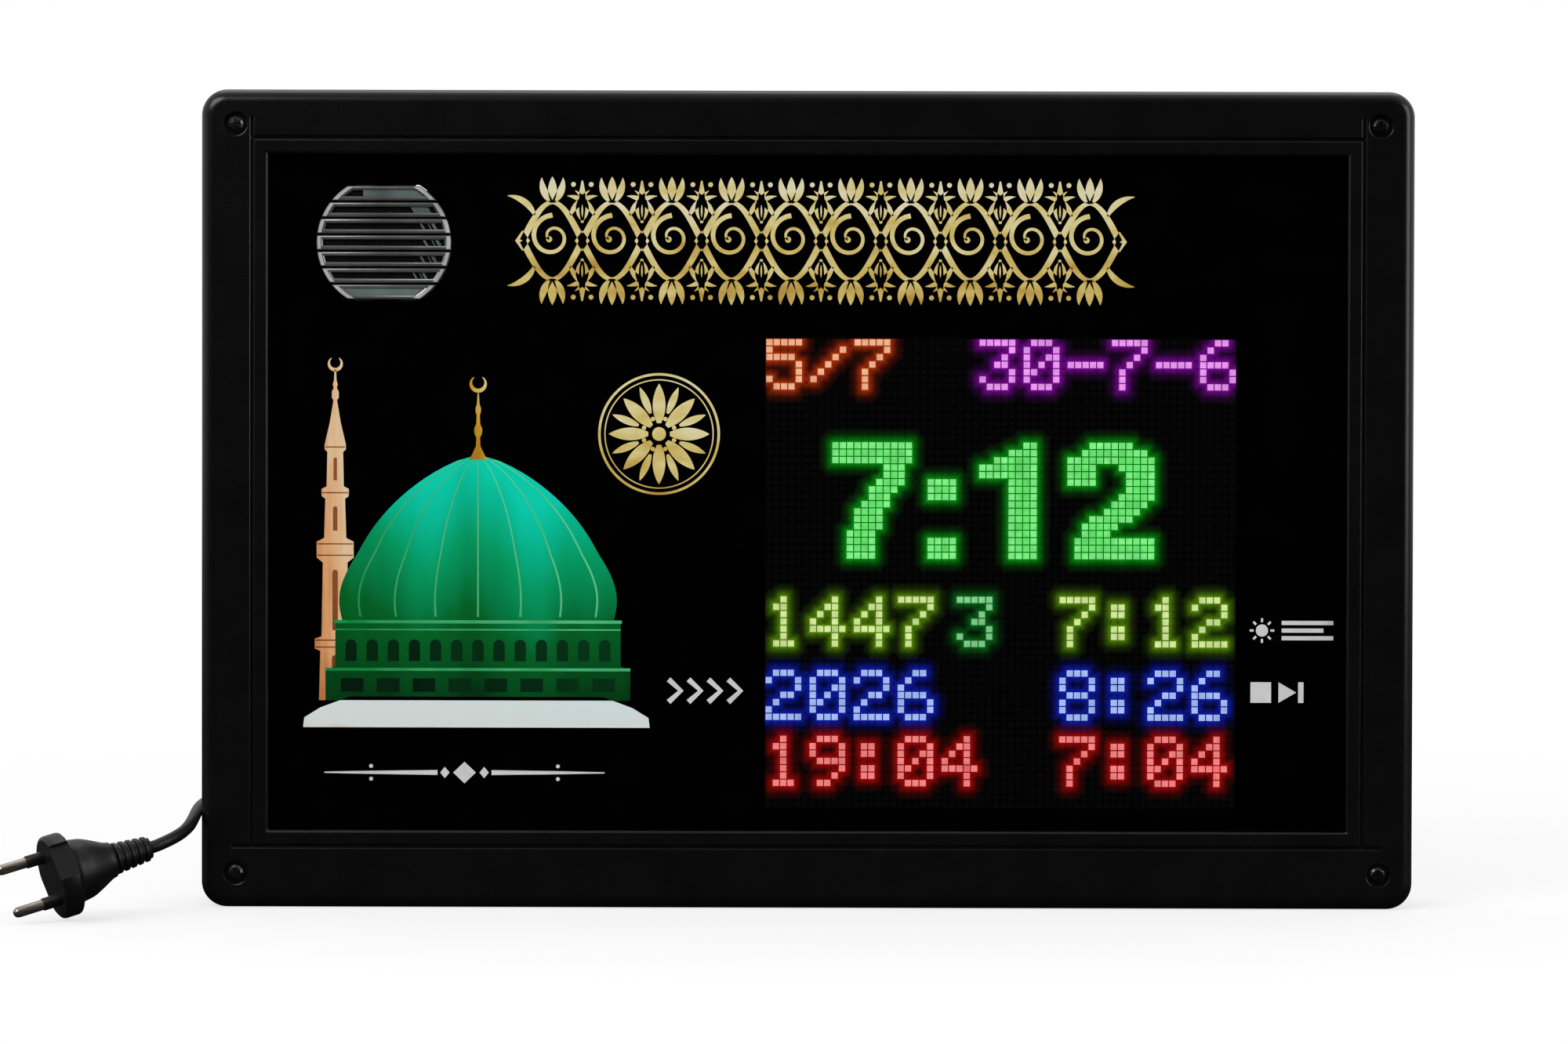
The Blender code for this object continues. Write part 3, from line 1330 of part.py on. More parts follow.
def coil_points():
    """The put-away length: a flat spiral in, a climb, and a spiral out above it."""
    turns = 2 * COIL_TURNS_PER_LAYER
    low = FLOOR_GAP + TIE_THICKNESS + GAP + CORD_DIAMETER / 2
    points = []
    for index in range(turns * COIL_POINTS_PER_TURN + 1):
        turn = index / COIL_POINTS_PER_TURN
        inward = min(turn, turns - turn)
        radius = COIL_OUTER_RADIUS - COIL_TURN_PITCH * inward
        climb_share = min(1.0, max(0.0, (turn - COIL_TURNS_PER_LAYER) * 2 + 0.5))
        rise = COIL_TURN_PITCH * climb_share**2 * (3 - 2 * climb_share)
        angle = 2 * math.pi * turn + math.pi / 2
        across = Vector((math.cos(angle), math.sin(angle), 0.0)) * radius
        points.append(Vector((COIL_X, COIL_Y, low + rise)) + across)
    for end, next_one in ((0, 1), (-1, -2)):
        straight = (points[end] - points[next_one]).normalized() * CORD_DIAMETER
        points.insert(0 if end == 0 else len(points), points[end] + straight)
    return points


def least_gap(points):
    """The least gap between turns of the coil, from its points."""
    apart = COIL_POINTS_PER_TURN // 2
    nearest = min(
        (points[i] - points[j]).length
        for i in range(len(points))
        for j in range(i + apart, len(points))
    )
    return nearest - CORD_DIAMETER


def bundle_outline(grow):
    """The outline round the coil's turns, in radius and height, grown by a margin."""
    inner = COIL_OUTER_RADIUS - COIL_TURN_PITCH * COIL_TURNS_PER_LAYER - CORD_DIAMETER / 2
    outer = COIL_OUTER_RADIUS + CORD_DIAMETER / 2
    low = FLOOR_GAP + TIE_THICKNESS + GAP
    high = low + CORD_DIAMETER + COIL_TURN_PITCH
    return rounded_outline(
        inner - GAP - grow,
        outer + GAP + grow,
        low - GAP - grow,
        high + GAP + grow,
        CORD_DIAMETER / 2 + grow,
    )


def coil_tie():
    """A strap round the coil's turns, on its near side."""
    outer = plate("coil_tie", bundle_outline(TIE_THICKNESS), 0.0, TIE_WIDTH, RUBBER)
    inner = plate("coil_tie_bore", bundle_outline(0.0), -CUT_OVERRUN, TIE_WIDTH + CUT_OVERRUN)
    turn = Matrix.Rotation(math.radians(-90), 4, "Z")
    place = Matrix.Translation((COIL_X, COIL_Y, 0.0)) @ turn
    back = Matrix.Translation((0.0, -depth(TIE_WIDTH / 2), 0.0))
    for made in (outer, inner):
        made.data.transform(place @ back)
    boolean(outer, inner)


def cord():
    """The lead from the gland to the coil, the coil, and the run to the plug."""
    gland_tip = cord_gland()
    coil = coil_points()
    print("coil least gap mm", round(least_gap(coil) / MM, 3))
    tube("cord_coil", coil, CORD_DIAMETER / 2, CORD_BLACK, COIL_SIDES_RESOLUTION)
    coil_tie()
    out_of_gland = Vector((0, 1, 0))
    start = gland_tip + out_of_gland * GAP
    into_coil = (coil[0] - coil[1]).normalized()
    arrive = coil[0] + into_coil * GAP
    lead_route = [
        start,
        start + out_of_gland * CORD_DIAMETER,
        start + out_of_gland * CORD_DIAMETER * 2.4,
        *[CASE_LEFT + Vector(point) * MM for point in LEAD_ROUTE],
        arrive + into_coil * CORD_DIAMETER,
        arrive,
    ]
    lead = smooth_route(lead_route, CORD_SPACING)
    tube("cord_lead", lead, CORD_DIAMETER / 2, CORD_BLACK)
    out_of_coil = (coil[-1] - coil[-2]).normalized()
    leave = coil[-1] + out_of_coil * GAP
    plug_axis = (PLUG_FACE - PLUG_TAIL).normalized()
    finish_at = PLUG_TAIL - plug_axis * GAP
    tail_route = [
        leave,
        leave + out_of_coil * CORD_DIAMETER,
        *[CASE_LEFT + Vector(point) * MM for point in TAIL_ROUTE],
        finish_at - plug_axis * CORD_DIAMETER / 2,
        finish_at,
    ]
    tail = smooth_route(tail_route, CORD_SPACING)
    tube("cord_tail", tail, CORD_DIAMETER / 2, CORD_BLACK)
    total = sum(
        (there - here).length
        for run in (lead, coil, tail)
        for here, there in zip(run, run[1:])
    )
    print("cord length m", round(total, 3))


# The cord's route in millimetres from the case's left side: gland to floor, and coil to plug
LEAD_ROUTE = [
    (142, 66, 57),
    (141.9, 77, 53.4),
    (141.4, 87, 47.4),
    (140.4, 95.5, 39.6),
    (138.6, 102.6, 30.8),
    (135.4, 108.8, 22),
    (130.2, 114.4, 14.2),
    (122.6, 119, 8.2),
    (113, 122, 4.9),
    (102, 123.4, 3.8),
]
TAIL_ROUTE = [
    (60, 123.2, 10.4),
    (43.5, 120.2, 13.8),
    (27.5, 112.2, 18.2),
    (14.2, 99.8, 23.2),
    (4.4, 83, 28.2),
    (-1.4, 64, 32.6),
    (-4, 44, 36),
    (-4.4, 24, 38.4),
    (-3.8, 5, 38.9),
    (-3.2, -10, 37.9),
    (-2.8, -21, 36.3),
    (-3, -30.5, 34.2),
    (-4.9, -38.6, 31.9),
    (-8.6, -45, 29.8),
]


def plug():
    """A round two-pin plug: body with side notches, ribbed relief and two pins."""
    along = (PLUG_FACE - PLUG_TAIL).normalized()
    body_back = (PLUG_FACE - PLUG_TAIL).length - PLUG_RELIEF_LENGTH - GAP
    profile = [
        (0.0, 0.0),
        (PLUG_FLANGE_RADIUS - PLUG_EDGE, 0.0),
        (PLUG_FLANGE_RADIUS, PLUG_EDGE),
        (PLUG_FLANGE_RADIUS, PLUG_FLANGE_DEPTH - PLUG_EDGE),
        (PLUG_FLANGE_RADIUS - PLUG_EDGE, PLUG_FLANGE_DEPTH),
        (PLUG_GRIP_RADIUS, PLUG_FLANGE_DEPTH + PLUG_EDGE),
        (PLUG_WAIST_RADIUS, PLUG_WAIST),
        (PLUG_SHOULDER_RADIUS, PLUG_SHOULDER),
        (PLUG_NECK_RADIUS, body_back - PLUG_EDGE),
        (PLUG_NECK_RADIUS - PLUG_EDGE, body_back),
        (0.0, body_back),
    ]
    body = turned("plug_body", profile, PLUG_FACE, along, PLUG_BLACK, 2 * SMALL_ROUND)
    frame = axis_frame(PLUG_FACE, along, PLUG_ROLL_DEGREES)
    notch_inner = PLUG_FLANGE_RADIUS - PLUG_NOTCH_DEPTH
    half = PLUG_NOTCH_WIDTH / 2
    for side in (-1, 1):
        bm = bmesh.new()
        near = min(side * notch_inner, side * (PLUG_FLANGE_RADIUS + CUT_OVERRUN))
        far = max(side * notch_inner, side * (PLUG_FLANGE_RADIUS + CUT_OVERRUN))
        add_box(bm, (near, -half, -(PLUG_FLANGE_DEPTH + PLUG_EDGE)), (far, half, CUT_OVERRUN))
        bmesh.ops.transform(bm, matrix=frame, verts=bm.verts)
        boolean(body, mesh_object("plug_notch" + str(side + 1), bm))
    sleeve = [(0.0, 0.0)]
    sleeve += ribbed_taper(
        PLUG_RELIEF_LENGTH,
        PLUG_RELIEF_RADIUS,
        PLUG_RELIEF_TIP_RADIUS,
        PLUG_RELIEF_RIBS,
        GLAND_RIB_HEIGHT,
    )
    sleeve.append((0.0, PLUG_RELIEF_LENGTH))
    sleeve_start = PLUG_FACE - along * (body_back + GAP)
    turned("plug_relief", sleeve, sleeve_start, along, PLUG_BLACK, SMALL_ROUND)
    for name, step in (("plug_pin_upper", 1), ("plug_pin_lower", -1)):
        pin = [
            (0.0, -PIN_LENGTH),
            (PIN_RADIUS - PIN_TIP / 2, -PIN_LENGTH),
            (PIN_RADIUS, -PIN_LENGTH + PIN_TIP),
            (PIN_RADIUS, -PIN_SLEEVE_LENGTH),
            (PIN_SLEEVE_RADIUS, -PIN_SLEEVE_LENGTH),
            (PIN_SLEEVE_RADIUS, -GAP),
            (0.0, -GAP),
        ]
        root = frame @ Vector((0.0, step * PIN_SPACING / 2, 0.0))
        turned(name, pin, root, along, PIN_METAL, SMALL_ROUND)


frame_parts()
corner_fixings()
front_sheets()
speaker_grille()
speaker()
rear_of_module = display_module()
rear_cover()
hangers()
controls()
electronics(rear_of_module)
cord()
plug()
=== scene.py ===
"""Looks for the prayer-time wall clock: materials, lit display, printed art, plug and cord.

Metres, +Z up. The front faces -Y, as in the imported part. Printed shapes, grille and plug are
drawn in millimetres, as are the depths of bumps.
"""

import math
import random

import bmesh
import bpy
from mathutils import Matrix, Vector

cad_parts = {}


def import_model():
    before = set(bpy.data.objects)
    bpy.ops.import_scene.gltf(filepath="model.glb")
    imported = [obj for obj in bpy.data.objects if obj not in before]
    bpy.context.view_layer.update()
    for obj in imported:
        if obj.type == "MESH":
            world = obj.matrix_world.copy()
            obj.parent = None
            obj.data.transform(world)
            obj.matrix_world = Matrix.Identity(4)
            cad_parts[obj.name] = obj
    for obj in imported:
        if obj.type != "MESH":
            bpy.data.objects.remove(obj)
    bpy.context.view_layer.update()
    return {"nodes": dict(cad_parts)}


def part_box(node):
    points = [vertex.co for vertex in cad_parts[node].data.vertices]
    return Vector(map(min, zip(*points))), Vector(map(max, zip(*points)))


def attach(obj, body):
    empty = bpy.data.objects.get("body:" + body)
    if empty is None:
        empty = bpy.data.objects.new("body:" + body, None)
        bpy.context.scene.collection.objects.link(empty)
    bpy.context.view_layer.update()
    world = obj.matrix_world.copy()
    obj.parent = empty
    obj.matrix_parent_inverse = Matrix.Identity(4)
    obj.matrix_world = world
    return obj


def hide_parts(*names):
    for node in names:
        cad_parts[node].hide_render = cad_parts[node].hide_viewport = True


MM = 0.001

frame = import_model()
CAD_NODES = frame["nodes"]


# Colours, given in 0 to 255 as the picture shows them

def linear(colour):
    """A colour made linear, as the shaders want it."""
    shares = [value / 255 for value in colour]
    return (*[s / 12.92 if s <= 0.04045 else ((s + 0.055) / 1.055) ** 2.4 for s in shares], 1.0)


def grey(level):
    """A neutral colour."""
    return (level, level, level)


# Materials

class Nodes:
    """The shader nodes of a material or a world, made and fed in one call."""

    def __init__(self, owner, place="Object", clear=False):
        owner.use_nodes = True
        self.tree = owner.node_tree
        if clear:
            self.tree.nodes.clear()
        self.place = self.node("TexCoord").outputs[place]

    def feed(self, socket, value):
        """Links a socket to another one, or gives it a plain value."""
        if isinstance(value, bpy.types.NodeSocket):
            self.tree.links.new(value, socket)
        else:
            socket.default_value = value

    def node(self, kind, inputs=None, **settings):
        made = self.tree.nodes.new("ShaderNode" + kind)
        for name, value in settings.items():
            setattr(made, name, value)
        for name, value in (inputs or {}).items():
            self.feed(made.inputs[name], value)
        return made

    def stretched(self, scale):
        """The surface's place, scaled along each axis."""
        return self.node("Mapping", {"Scale": scale, "Vector": self.place}).outputs["Vector"]

    def noise(self, scale, detail=3.0, place=None):
        inputs = {"Scale": scale, "Detail": detail, "Vector": place or self.place}
        return self.node("TexNoise", inputs).outputs["Fac"]

    def cells(self, scale, place=None):
        return self.node("TexVoronoi", {"Scale": scale, "Vector": place or self.place}).outputs["Distance"]

    def ramp(self, factor, *stops):
        """Colours along a value, each at its position."""
        made = self.node("ValToRGB", {"Fac": factor})
        elements = made.color_ramp.elements
        while len(elements) < len(stops):
            elements.new(0.5)
        for element, (position, colour) in zip(elements, stops):
            element.position = position
            element.color = linear(colour)
        return made.outputs["Color"]

    def spread(self, value, low, high, start=0.0, end=1.0, **settings):
        """A value read from start to end, spread from low to high."""
        inputs = {"Value": value, "From Min": start, "From Max": end, "To Min": low, "To Max": high}
        return self.node("MapRange", inputs, **settings).outputs["Result"]

    def axis(self, name):
        """The surface's place along one axis."""
        return self.node("SeparateXYZ", {"Vector": self.place}).outputs[name]

    def maths(self, operation, first, second):
        return self.node("Math", {0: first, 1: second}, operation=operation).outputs["Value"]

    def combined(self, blend, first, second):
        """Two colours, added or multiplied."""
        made = self.node("Mix", data_type="RGBA", blend_type=blend)
        for name, value in (("Factor", 1.0), ("A", first), ("B", second)):
            self.feed([s for s in made.inputs if s.name == name and s.enabled][0], value)
        return [s for s in made.outputs if s.enabled][0]

    def seen(self, path):
        """One for what the camera sees, straight or through the clear sheet."""
        return self.maths("MAXIMUM", path["Is Camera Ray"], path["Is Transmission Ray"])

    def between(self, share, first, second):
        """Two shaders, blended by a share."""
        return self.node("MixShader", {"Fac": share, 1: first, 2: second}).outputs["Shader"]


class Look(Nodes):
    """One procedural material, built around its Principled shader."""

    def __init__(self, name):
        self.material = bpy.data.materials.new(name)
        super().__init__(self.material)

    def set(self, **values):
        """Feeds the shader's inputs; an underline stands for a space in a name."""
        shader = self.tree.nodes["Principled BSDF"]
        for name, value in values.items():
            self.feed(shader.inputs[name.replace("_", " ")], value)

    def bump(self, height, distance):
        inputs = {"Height": height, "Distance": distance * MM, "Strength": 1.0}
        self.set(Normal=self.node("Bump", inputs).outputs["Normal"])
        return self.material


def plastic(name, dark, light, roughness, grain=0.02, specular=0.3, size=1400.0):
    """Moulded plastic: fine grain, soft mottling and slightly uneven gloss."""
    made = Look(name)
    fine = made.noise(size, 2.0)
    made.set(
        Base_Color=made.ramp(made.noise(60.0, 4.0), (0.3, dark), (0.7, light)),
        Roughness=made.spread(fine, *roughness, 0.3, 0.7),
        Specular_IOR_Level=specular,
    )
    return made.bump(fine, grain)


def metal(name, dark, light, roughness, brushed=(60.0, 60.0, 1800.0), share=1.0):
    """Metal with fine brushed lines and a few duller patches."""
    made = Look(name)
    lines = made.noise(1.0, 4.0, made.stretched(brushed))
    made.set(
        Base_Color=made.ramp(made.noise(45.0, 4.0), (0.3, dark), (0.7, light)),
        Roughness=made.spread(lines, *roughness, 0.3, 0.7),
        Metallic=share,
    )
    return made.bump(lines, 0.01)


def circuit():
    """Green solder mask with fine copper lines under it and small pale joints."""
    made = Look("circuit")
    tracks = made.cells(260.0, made.stretched((1.0, 0.2, 2.4)))
    mask = made.ramp(tracks, (0.35, (10, 62, 30)), (0.5, (22, 98, 48)))
    joints = made.ramp(made.cells(420.0), (0.08, grey(190)), (0.12, grey(0)))
    made.set(Base_Color=made.combined("ADD", mask, joints), Roughness=made.spread(tracks, 0.3, 0.5))
    return made.bump(tracks, 0.02)


def gold_print(name, low_edge, high_edge):
    """Gold ink: a soft sheen from pale to deep gold, with a fine speckle."""
    made = Look(name)
    rise = made.spread(made.axis("Z"), 0.0, 1.0, low_edge * MM, high_edge * MM)
    waves = made.noise(55.0, 3.0, made.stretched((1.0, 1.0, 2.2)))
    tone = made.maths("ADD", made.maths("MULTIPLY", rise, 0.25), made.maths("MULTIPLY", waves, 0.75))
    golds = (
        (0.28, (206, 166, 74)), (0.42, (232, 206, 116)), (0.55, (246, 230, 160)), (0.68, (255, 246, 204)),
    )
    speckle = made.noise(2600.0, 2.0)
    made.set(
        Base_Color=made.ramp(tone, *golds),
        Roughness=made.spread(speckle, 0.35, 0.55),
        Specular_IOR_Level=0.2,
    )
    return made.bump(speckle, 0.01)


def printed(name, stops, shares, streak, centre_x, low, high, half):
    """Printed colour that changes across and up a shape, with fine streaks."""
    made = Look(name)
    side = made.spread(made.axis("X"), 0.0, 1.0, (centre_x - half) * MM, (centre_x + half) * MM)
    up = made.spread(made.axis("Z"), 0.0, 1.0, low * MM, high * MM)
    lines = made.noise(1.0, 4.0, made.stretched(streak))
    across, rise = shares
    tone = made.maths("ADD", made.maths("MULTIPLY", side, across), made.maths("MULTIPLY", up, rise))
    tone = made.maths("ADD", tone, made.maths("MULTIPLY", lines, 1.0 - across - rise))
    made.set(
        Base_Color=made.ramp(tone, *stops),
        Roughness=made.spread(lines, 0.45, 0.6),
        Specular_IOR_Level=0.06,
    )
    return made.bump(lines, 0.01)


# For the lit dots the stored colour is their own light; for the glow sheet and the unlit dots it is a painted
# glow.
def shining(name, dark, light, specular):
    """A surface that gives off the colours stored on it, a little uneven from place to place."""
    made = Look(name)
    stored = made.node("Attribute", attribute_name="shine").outputs["Color"]
    patches = made.noise(260.0, 3.0)
    uneven = made.ramp(patches, (0.3, grey(226)), (0.65, grey(255)))
    made.set(
        Emission_Color=made.combined("MULTIPLY", stored, uneven),
        Base_Color=made.ramp(patches, (0.3, grey(dark)), (0.7, grey(light))),
        Roughness=made.spread(made.noise(1800.0, 2.0), 0.4, 0.6, 0.3, 0.7),
        Emission_Strength=1.0,
        Specular_IOR_Level=specular,
    )
    return made.material


def soft(name, scale, stops, roughness, **values):
    """A plain surface with slow changes of tone and gloss."""
    made = Look(name)
    cloud = made.noise(scale, 4.0 if scale > 100 else 2.0)
    made.set(Base_Color=made.ramp(cloud, *stops), Roughness=made.spread(cloud, *roughness), **values)
    return made.material


CASE_PLASTIC = plastic("case_plastic", grey(7), grey(12), (0.2, 0.28), 0.01, 0.35)
CORNER_PLASTIC = plastic("corner_plastic", grey(7), grey(12), (0.2, 0.28), 0.01, 0.35)
COVER_PLASTIC = plastic("cover_plastic", grey(26), grey(32), (0.5, 0.62), 0.05, 0.35, 900.0)
CONTROL_PLASTIC = plastic("control_plastic", grey(66), grey(84), (0.42, 0.55), 0.03, 0.4)
CORD_PLASTIC = plastic("cord_plastic", grey(8), grey(15), (0.38, 0.5), 0.03, 0.35, 900.0)
PLUG_PLASTIC = plastic("plug_plastic", grey(8), grey(15), (0.36, 0.48), 0.04, 0.35, 1100.0)
FILM = plastic("black_film", grey(0), grey(2), (0.5, 0.6), 0.004, 0.0, 2200.0)
MASK = plastic("display_mask", grey(0), grey(3), (0.6, 0.75), 0.01, 0.02, 1800.0)
RUBBER = plastic("rubber", grey(22), grey(30), (0.65, 0.8), 0.05, 0.3, 1500.0)
PAPER = plastic("cone_paper", grey(34), grey(50), (0.8, 0.95), 0.12, 0.15, 700.0)
MAGNET = plastic("magnet", grey(56), grey(78), (0.45, 0.65), 0.08, 0.4, 800.0)
RIBBON = plastic("ribbon", grey(140), grey(168), (0.5, 0.65), 0.06, 0.4, 500.0)
RED_WIRE = plastic("red_wire", (150, 16, 14), (184, 26, 22), (0.4, 0.55), 0.02, 0.4)
BLACK_WIRE = plastic("black_wire", grey(18), grey(30), (0.4, 0.55), 0.02, 0.4)
ZINC = metal("zinc_steel", grey(176), grey(198), (0.28, 0.42))
SCREW_METAL = metal("screw_steel", grey(52), grey(84), (0.22, 0.38), (900.0, 60.0, 900.0))
SUPPLY_METAL = metal("supply_metal", grey(182), grey(204), (0.32, 0.48))
CELL_METAL = metal("cell_metal", grey(196), grey(216), (0.2, 0.32))
PIN_METAL = metal("pin_metal", (150, 140, 128), (182, 172, 158), (0.22, 0.36))
CHROME = metal("chrome", grey(104), grey(146), (0.2, 0.34), (60.0, 40.0, 700.0), 0.7)
# A brighter, less metallic copy of the chrome: a painted highlight for the grille's rim strips.
HIGHLIGHT_CHROME = metal("painted_highlight_chrome", grey(168), grey(232), (0.3, 0.42), (60.0, 40.0, 700.0), 0.35)
# A tinted copy of the chrome: a painted reflection laid in patches in the grille's troughs.
REFLECTION_CHROME = metal(
    "painted_reflection_chrome", (92, 108, 108), (150, 172, 170), (0.2, 0.34), (60.0, 40.0, 260.0), 0.55
)
CIRCUIT = circuit()
GOLD_BAND_INK = gold_print("gold_band_ink", 247, 298)
GOLD_SEAL_INK = gold_print("gold_seal_ink", 168, 218)


# Where the part's own pieces lie

FILM_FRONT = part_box("printed_film")[0].y
PRINT_BACK = FILM_FRONT - 0.01 * MM
PRINT_FRONT = FILM_FRONT - 0.1 * MM
MODULE_LOW, MODULE_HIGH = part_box("led_mask")
GRILLE_LOW, GRILLE_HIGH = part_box("speaker_grille")


# Pieces

def placed(name, data):
    """A new object in the scene."""
    made = bpy.data.objects.new(name, data)
    bpy.context.scene.collection.objects.link(made)
    return made


def meshed(name, bm):
    """A new object in the scene with the shape drawn in bm."""
    mesh = bpy.data.meshes.new(name)
    bm.to_mesh(mesh)
    bm.free()
    return placed(name, mesh)


def piece(name, bm, look, smooth_degrees=None, replaces=()):
    """A mesh in the row frame that rides on the case."""
    bmesh.ops.recalc_face_normals(bm, faces=bm.faces)
    made = meshed(name, bm)
    made.data.materials.append(look)
    if smooth_degrees:
        made.data.shade_smooth()
        made.data.set_sharp_from_angle(angle=math.radians(smooth_degrees))
    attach(made, "case")
    if replaces:
        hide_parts(*replaces)
    return made


def circle(centre, radius, steps, start=0.0, end=360.0):
    """Points on a circle or part of one; a whole circle doesn't repeat its first point."""
    found = []
    for index in range(steps if abs(end - start) >= 360.0 else steps + 1):
        angle = math.radians(start + (end - start) * index / steps)
        found.append((centre[0] + radius * math.cos(angle), centre[1] + radius * math.sin(angle)))
    return found


def loop_at(bm, outline, y, unit=1.0):
    """The corners of an outline in X and Z, at one depth."""
    return [bm.verts.new((x * unit, y, z * unit)) for x, z in outline]


def bridge(bm, here, there):
    """Joins two closed loops with a band of faces."""
    for index, corner in enumerate(here):
        after = (index + 1) % len(here)
        bm.faces.new((corner, here[after], there[after], there[index]))


def capped(bm, loops):
    """Closes a stack of loops into a solid."""
    for here, there in zip(loops, loops[1:]):
        bridge(bm, here, there)
    bm.faces.new(loops[0])
    bm.faces.new(loops[-1][::-1])


def add_plate(bm, outline, front=PRINT_FRONT, back=PRINT_BACK):
    """Adds a flat outline, in millimetres, with thickness from front to back."""
    capped(bm, [loop_at(bm, outline, y, MM) for y in (front, back)])


def add_stroke(bm, line, widths, front=PRINT_FRONT, back=PRINT_BACK):
    """Adds a pen stroke in millimetres: a band along a line, of one width or a width at each point."""
    if isinstance(widths, float):
        widths = [widths] * len(line)
    rows = []
    for index, point in enumerate(line):
        before = Vector(line[max(index - 1, 0)])
        after = Vector(line[min(index + 1, len(line) - 1)])
        along = (after - before).normalized()
        side = Vector((-along.y, along.x)) * widths[index] / 2
        a, b = Vector(point) + side, Vector(point) - side
        rows.append(loop_at(bm, (a, b), front, MM) + loop_at(bm, (b, a), back, MM))
    capped(bm, rows)


def turned(bm, profile, matrix, sides):
    """Adds a closed solid turned about its local Z: radius and height in millimetres, end to end."""
    rings = []
    for radius, height in profile:
        ring = circle((0.0, 0.0), radius, sides) if radius else [(0.0, 0.0)]
        rings.append([bm.verts.new(matrix @ (Vector((x, y, height)) * MM)) for x, y in ring])
    for lower, upper in zip(rings, rings[1:]):
        for index in range(sides):
            places = ((lower, index), (lower, index + 1), (upper, index + 1), (upper, index))
            corners = list(dict.fromkeys(ring[place % len(ring)] for ring, place in places))
            if len(corners) > 2:
                bm.faces.new(corners)


# The frame: rails and corners with softened grooves, and no gap where they meet

CORNER_RADIUS = 10.5 * MM
LEAST_RADIUS = 0.4 * MM
EDGE_RADIUS = 5.5 * MM
EDGE_STEPS = 8
CORNER_STEPS = 12
FACE_WIDTHS = {"side": 21 * MM, "bottom": 25.2 * MM, "top": 19.8 * MM}
LIP_WIDTH = 6.5 * MM
LIP_CHAMFER = 1 * MM
LIP_EDGE = ((1.0, 0.0), (0.75, 0.12), (0.3, 0.5), (0.08, 0.8), (0.0, 1.0))
BACK_EDGE = ((0.6, 0.0), (0.2, 0.15), (0.0, 0.6))
FRONT_WALL = 3.4 * MM
SIDE_WALL = 2.6 * MM
LEDGE_WIDTH = 8 * MM
LEDGE_DEPTHS = (31.2 * MM, 33.2 * MM)
INNER_BEVEL = 0.4 * MM
GROOVE_WIDTH = 1.2 * MM
GROOVE_RUN_ON = 8 * MM
GROOVE_MOUTH = ((-1.0, 1.6), (0.0, 0.6), (0.08, 0.34), (0.22, 0.14), (0.45, 0.02), (0.95, 0.0), (1.1, -0.15))
WELL_INSET = 14.3 * MM
WELL_RADIUS = 4.6 * MM
WELL_MOUTH = ((-1.0, 1.5), (0.0, 0.5), (0.1, 0.25), (0.3, 0.08), (0.6, 0.0), (1.9, 0.0), (2.0, -0.1))
WELL_HOLE_RADIUS = 1.8 * MM
CORNER_REACH = 34 * MM
RAILS_LOW = Vector((*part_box("left_rail")[0].xy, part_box("bottom_rail")[0].z))
RAILS_HIGH = Vector((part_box("right_rail")[1].x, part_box("left_rail")[1].y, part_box("top_rail")[1].z))


def rounded(low, high, radius):
    """A rounded rectangle's outline, anticlockwise from the right side's foot."""
    found = []
    for x, z, start in (
        (high[0] - radius, low[1] + radius, -90),
        (high[0] - radius, high[1] - radius, 0),
        (low[0] + radius, high[1] - radius, 90),
        (low[0] + radius, low[1] + radius, 180),
    ):
        found += circle((x, z), radius, CORNER_STEPS, start, start + 90)
    return found


def frame_ring():
    """The whole frame as one closed ring."""
    bm = bmesh.new()
    front = RAILS_LOW.y
    rear = RAILS_HIGH.y
    loops = []

    def add_loop(side, bottom, top, radius, y):
        low = (RAILS_LOW.x + side, RAILS_LOW.z + bottom)
        high = (RAILS_HIGH.x - side, RAILS_HIGH.z - top)
        loops.append(loop_at(bm, rounded(low, high, radius), y))

    def inset_loop(inset, y):
        add_loop(inset, inset, inset, max(CORNER_RADIUS - inset, LEAST_RADIUS), y)

    def window_loop(grow, y):
        add_loop(*[width + LIP_WIDTH - grow for width in FACE_WIDTHS.values()], LEAST_RADIUS, y)

    for inset, back in BACK_EDGE:
        inset_loop(inset * MM, rear - back * MM)
    for index in range(EDGE_STEPS + 1):
        turn = math.radians(90 * index / EDGE_STEPS)
        inset_loop(EDGE_RADIUS * (1 - math.cos(turn)), front + EDGE_RADIUS * (1 - math.sin(turn)))
    for grow, sink in LIP_EDGE:
        window_loop(LIP_CHAMFER * grow, front + LIP_CHAMFER * sink)
    window_loop(0.0, front + FRONT_WALL)
    ledge = SIDE_WALL + LEDGE_WIDTH
    near, far = LEDGE_DEPTHS
    steps = ((SIDE_WALL, FRONT_WALL), (SIDE_WALL, near), (ledge, near), (ledge, far), (SIDE_WALL, far))
    for inset, sink in steps:
        inset_loop(inset, front + sink)
    inset_loop(SIDE_WALL, rear - INNER_BEVEL)
    inset_loop(SIDE_WALL - INNER_BEVEL, rear)
    for here, there in zip(loops, loops[1:] + loops[:1]):
        bridge(bm, here, there)
    bmesh.ops.recalc_face_normals(bm, faces=bm.faces)
    return bm


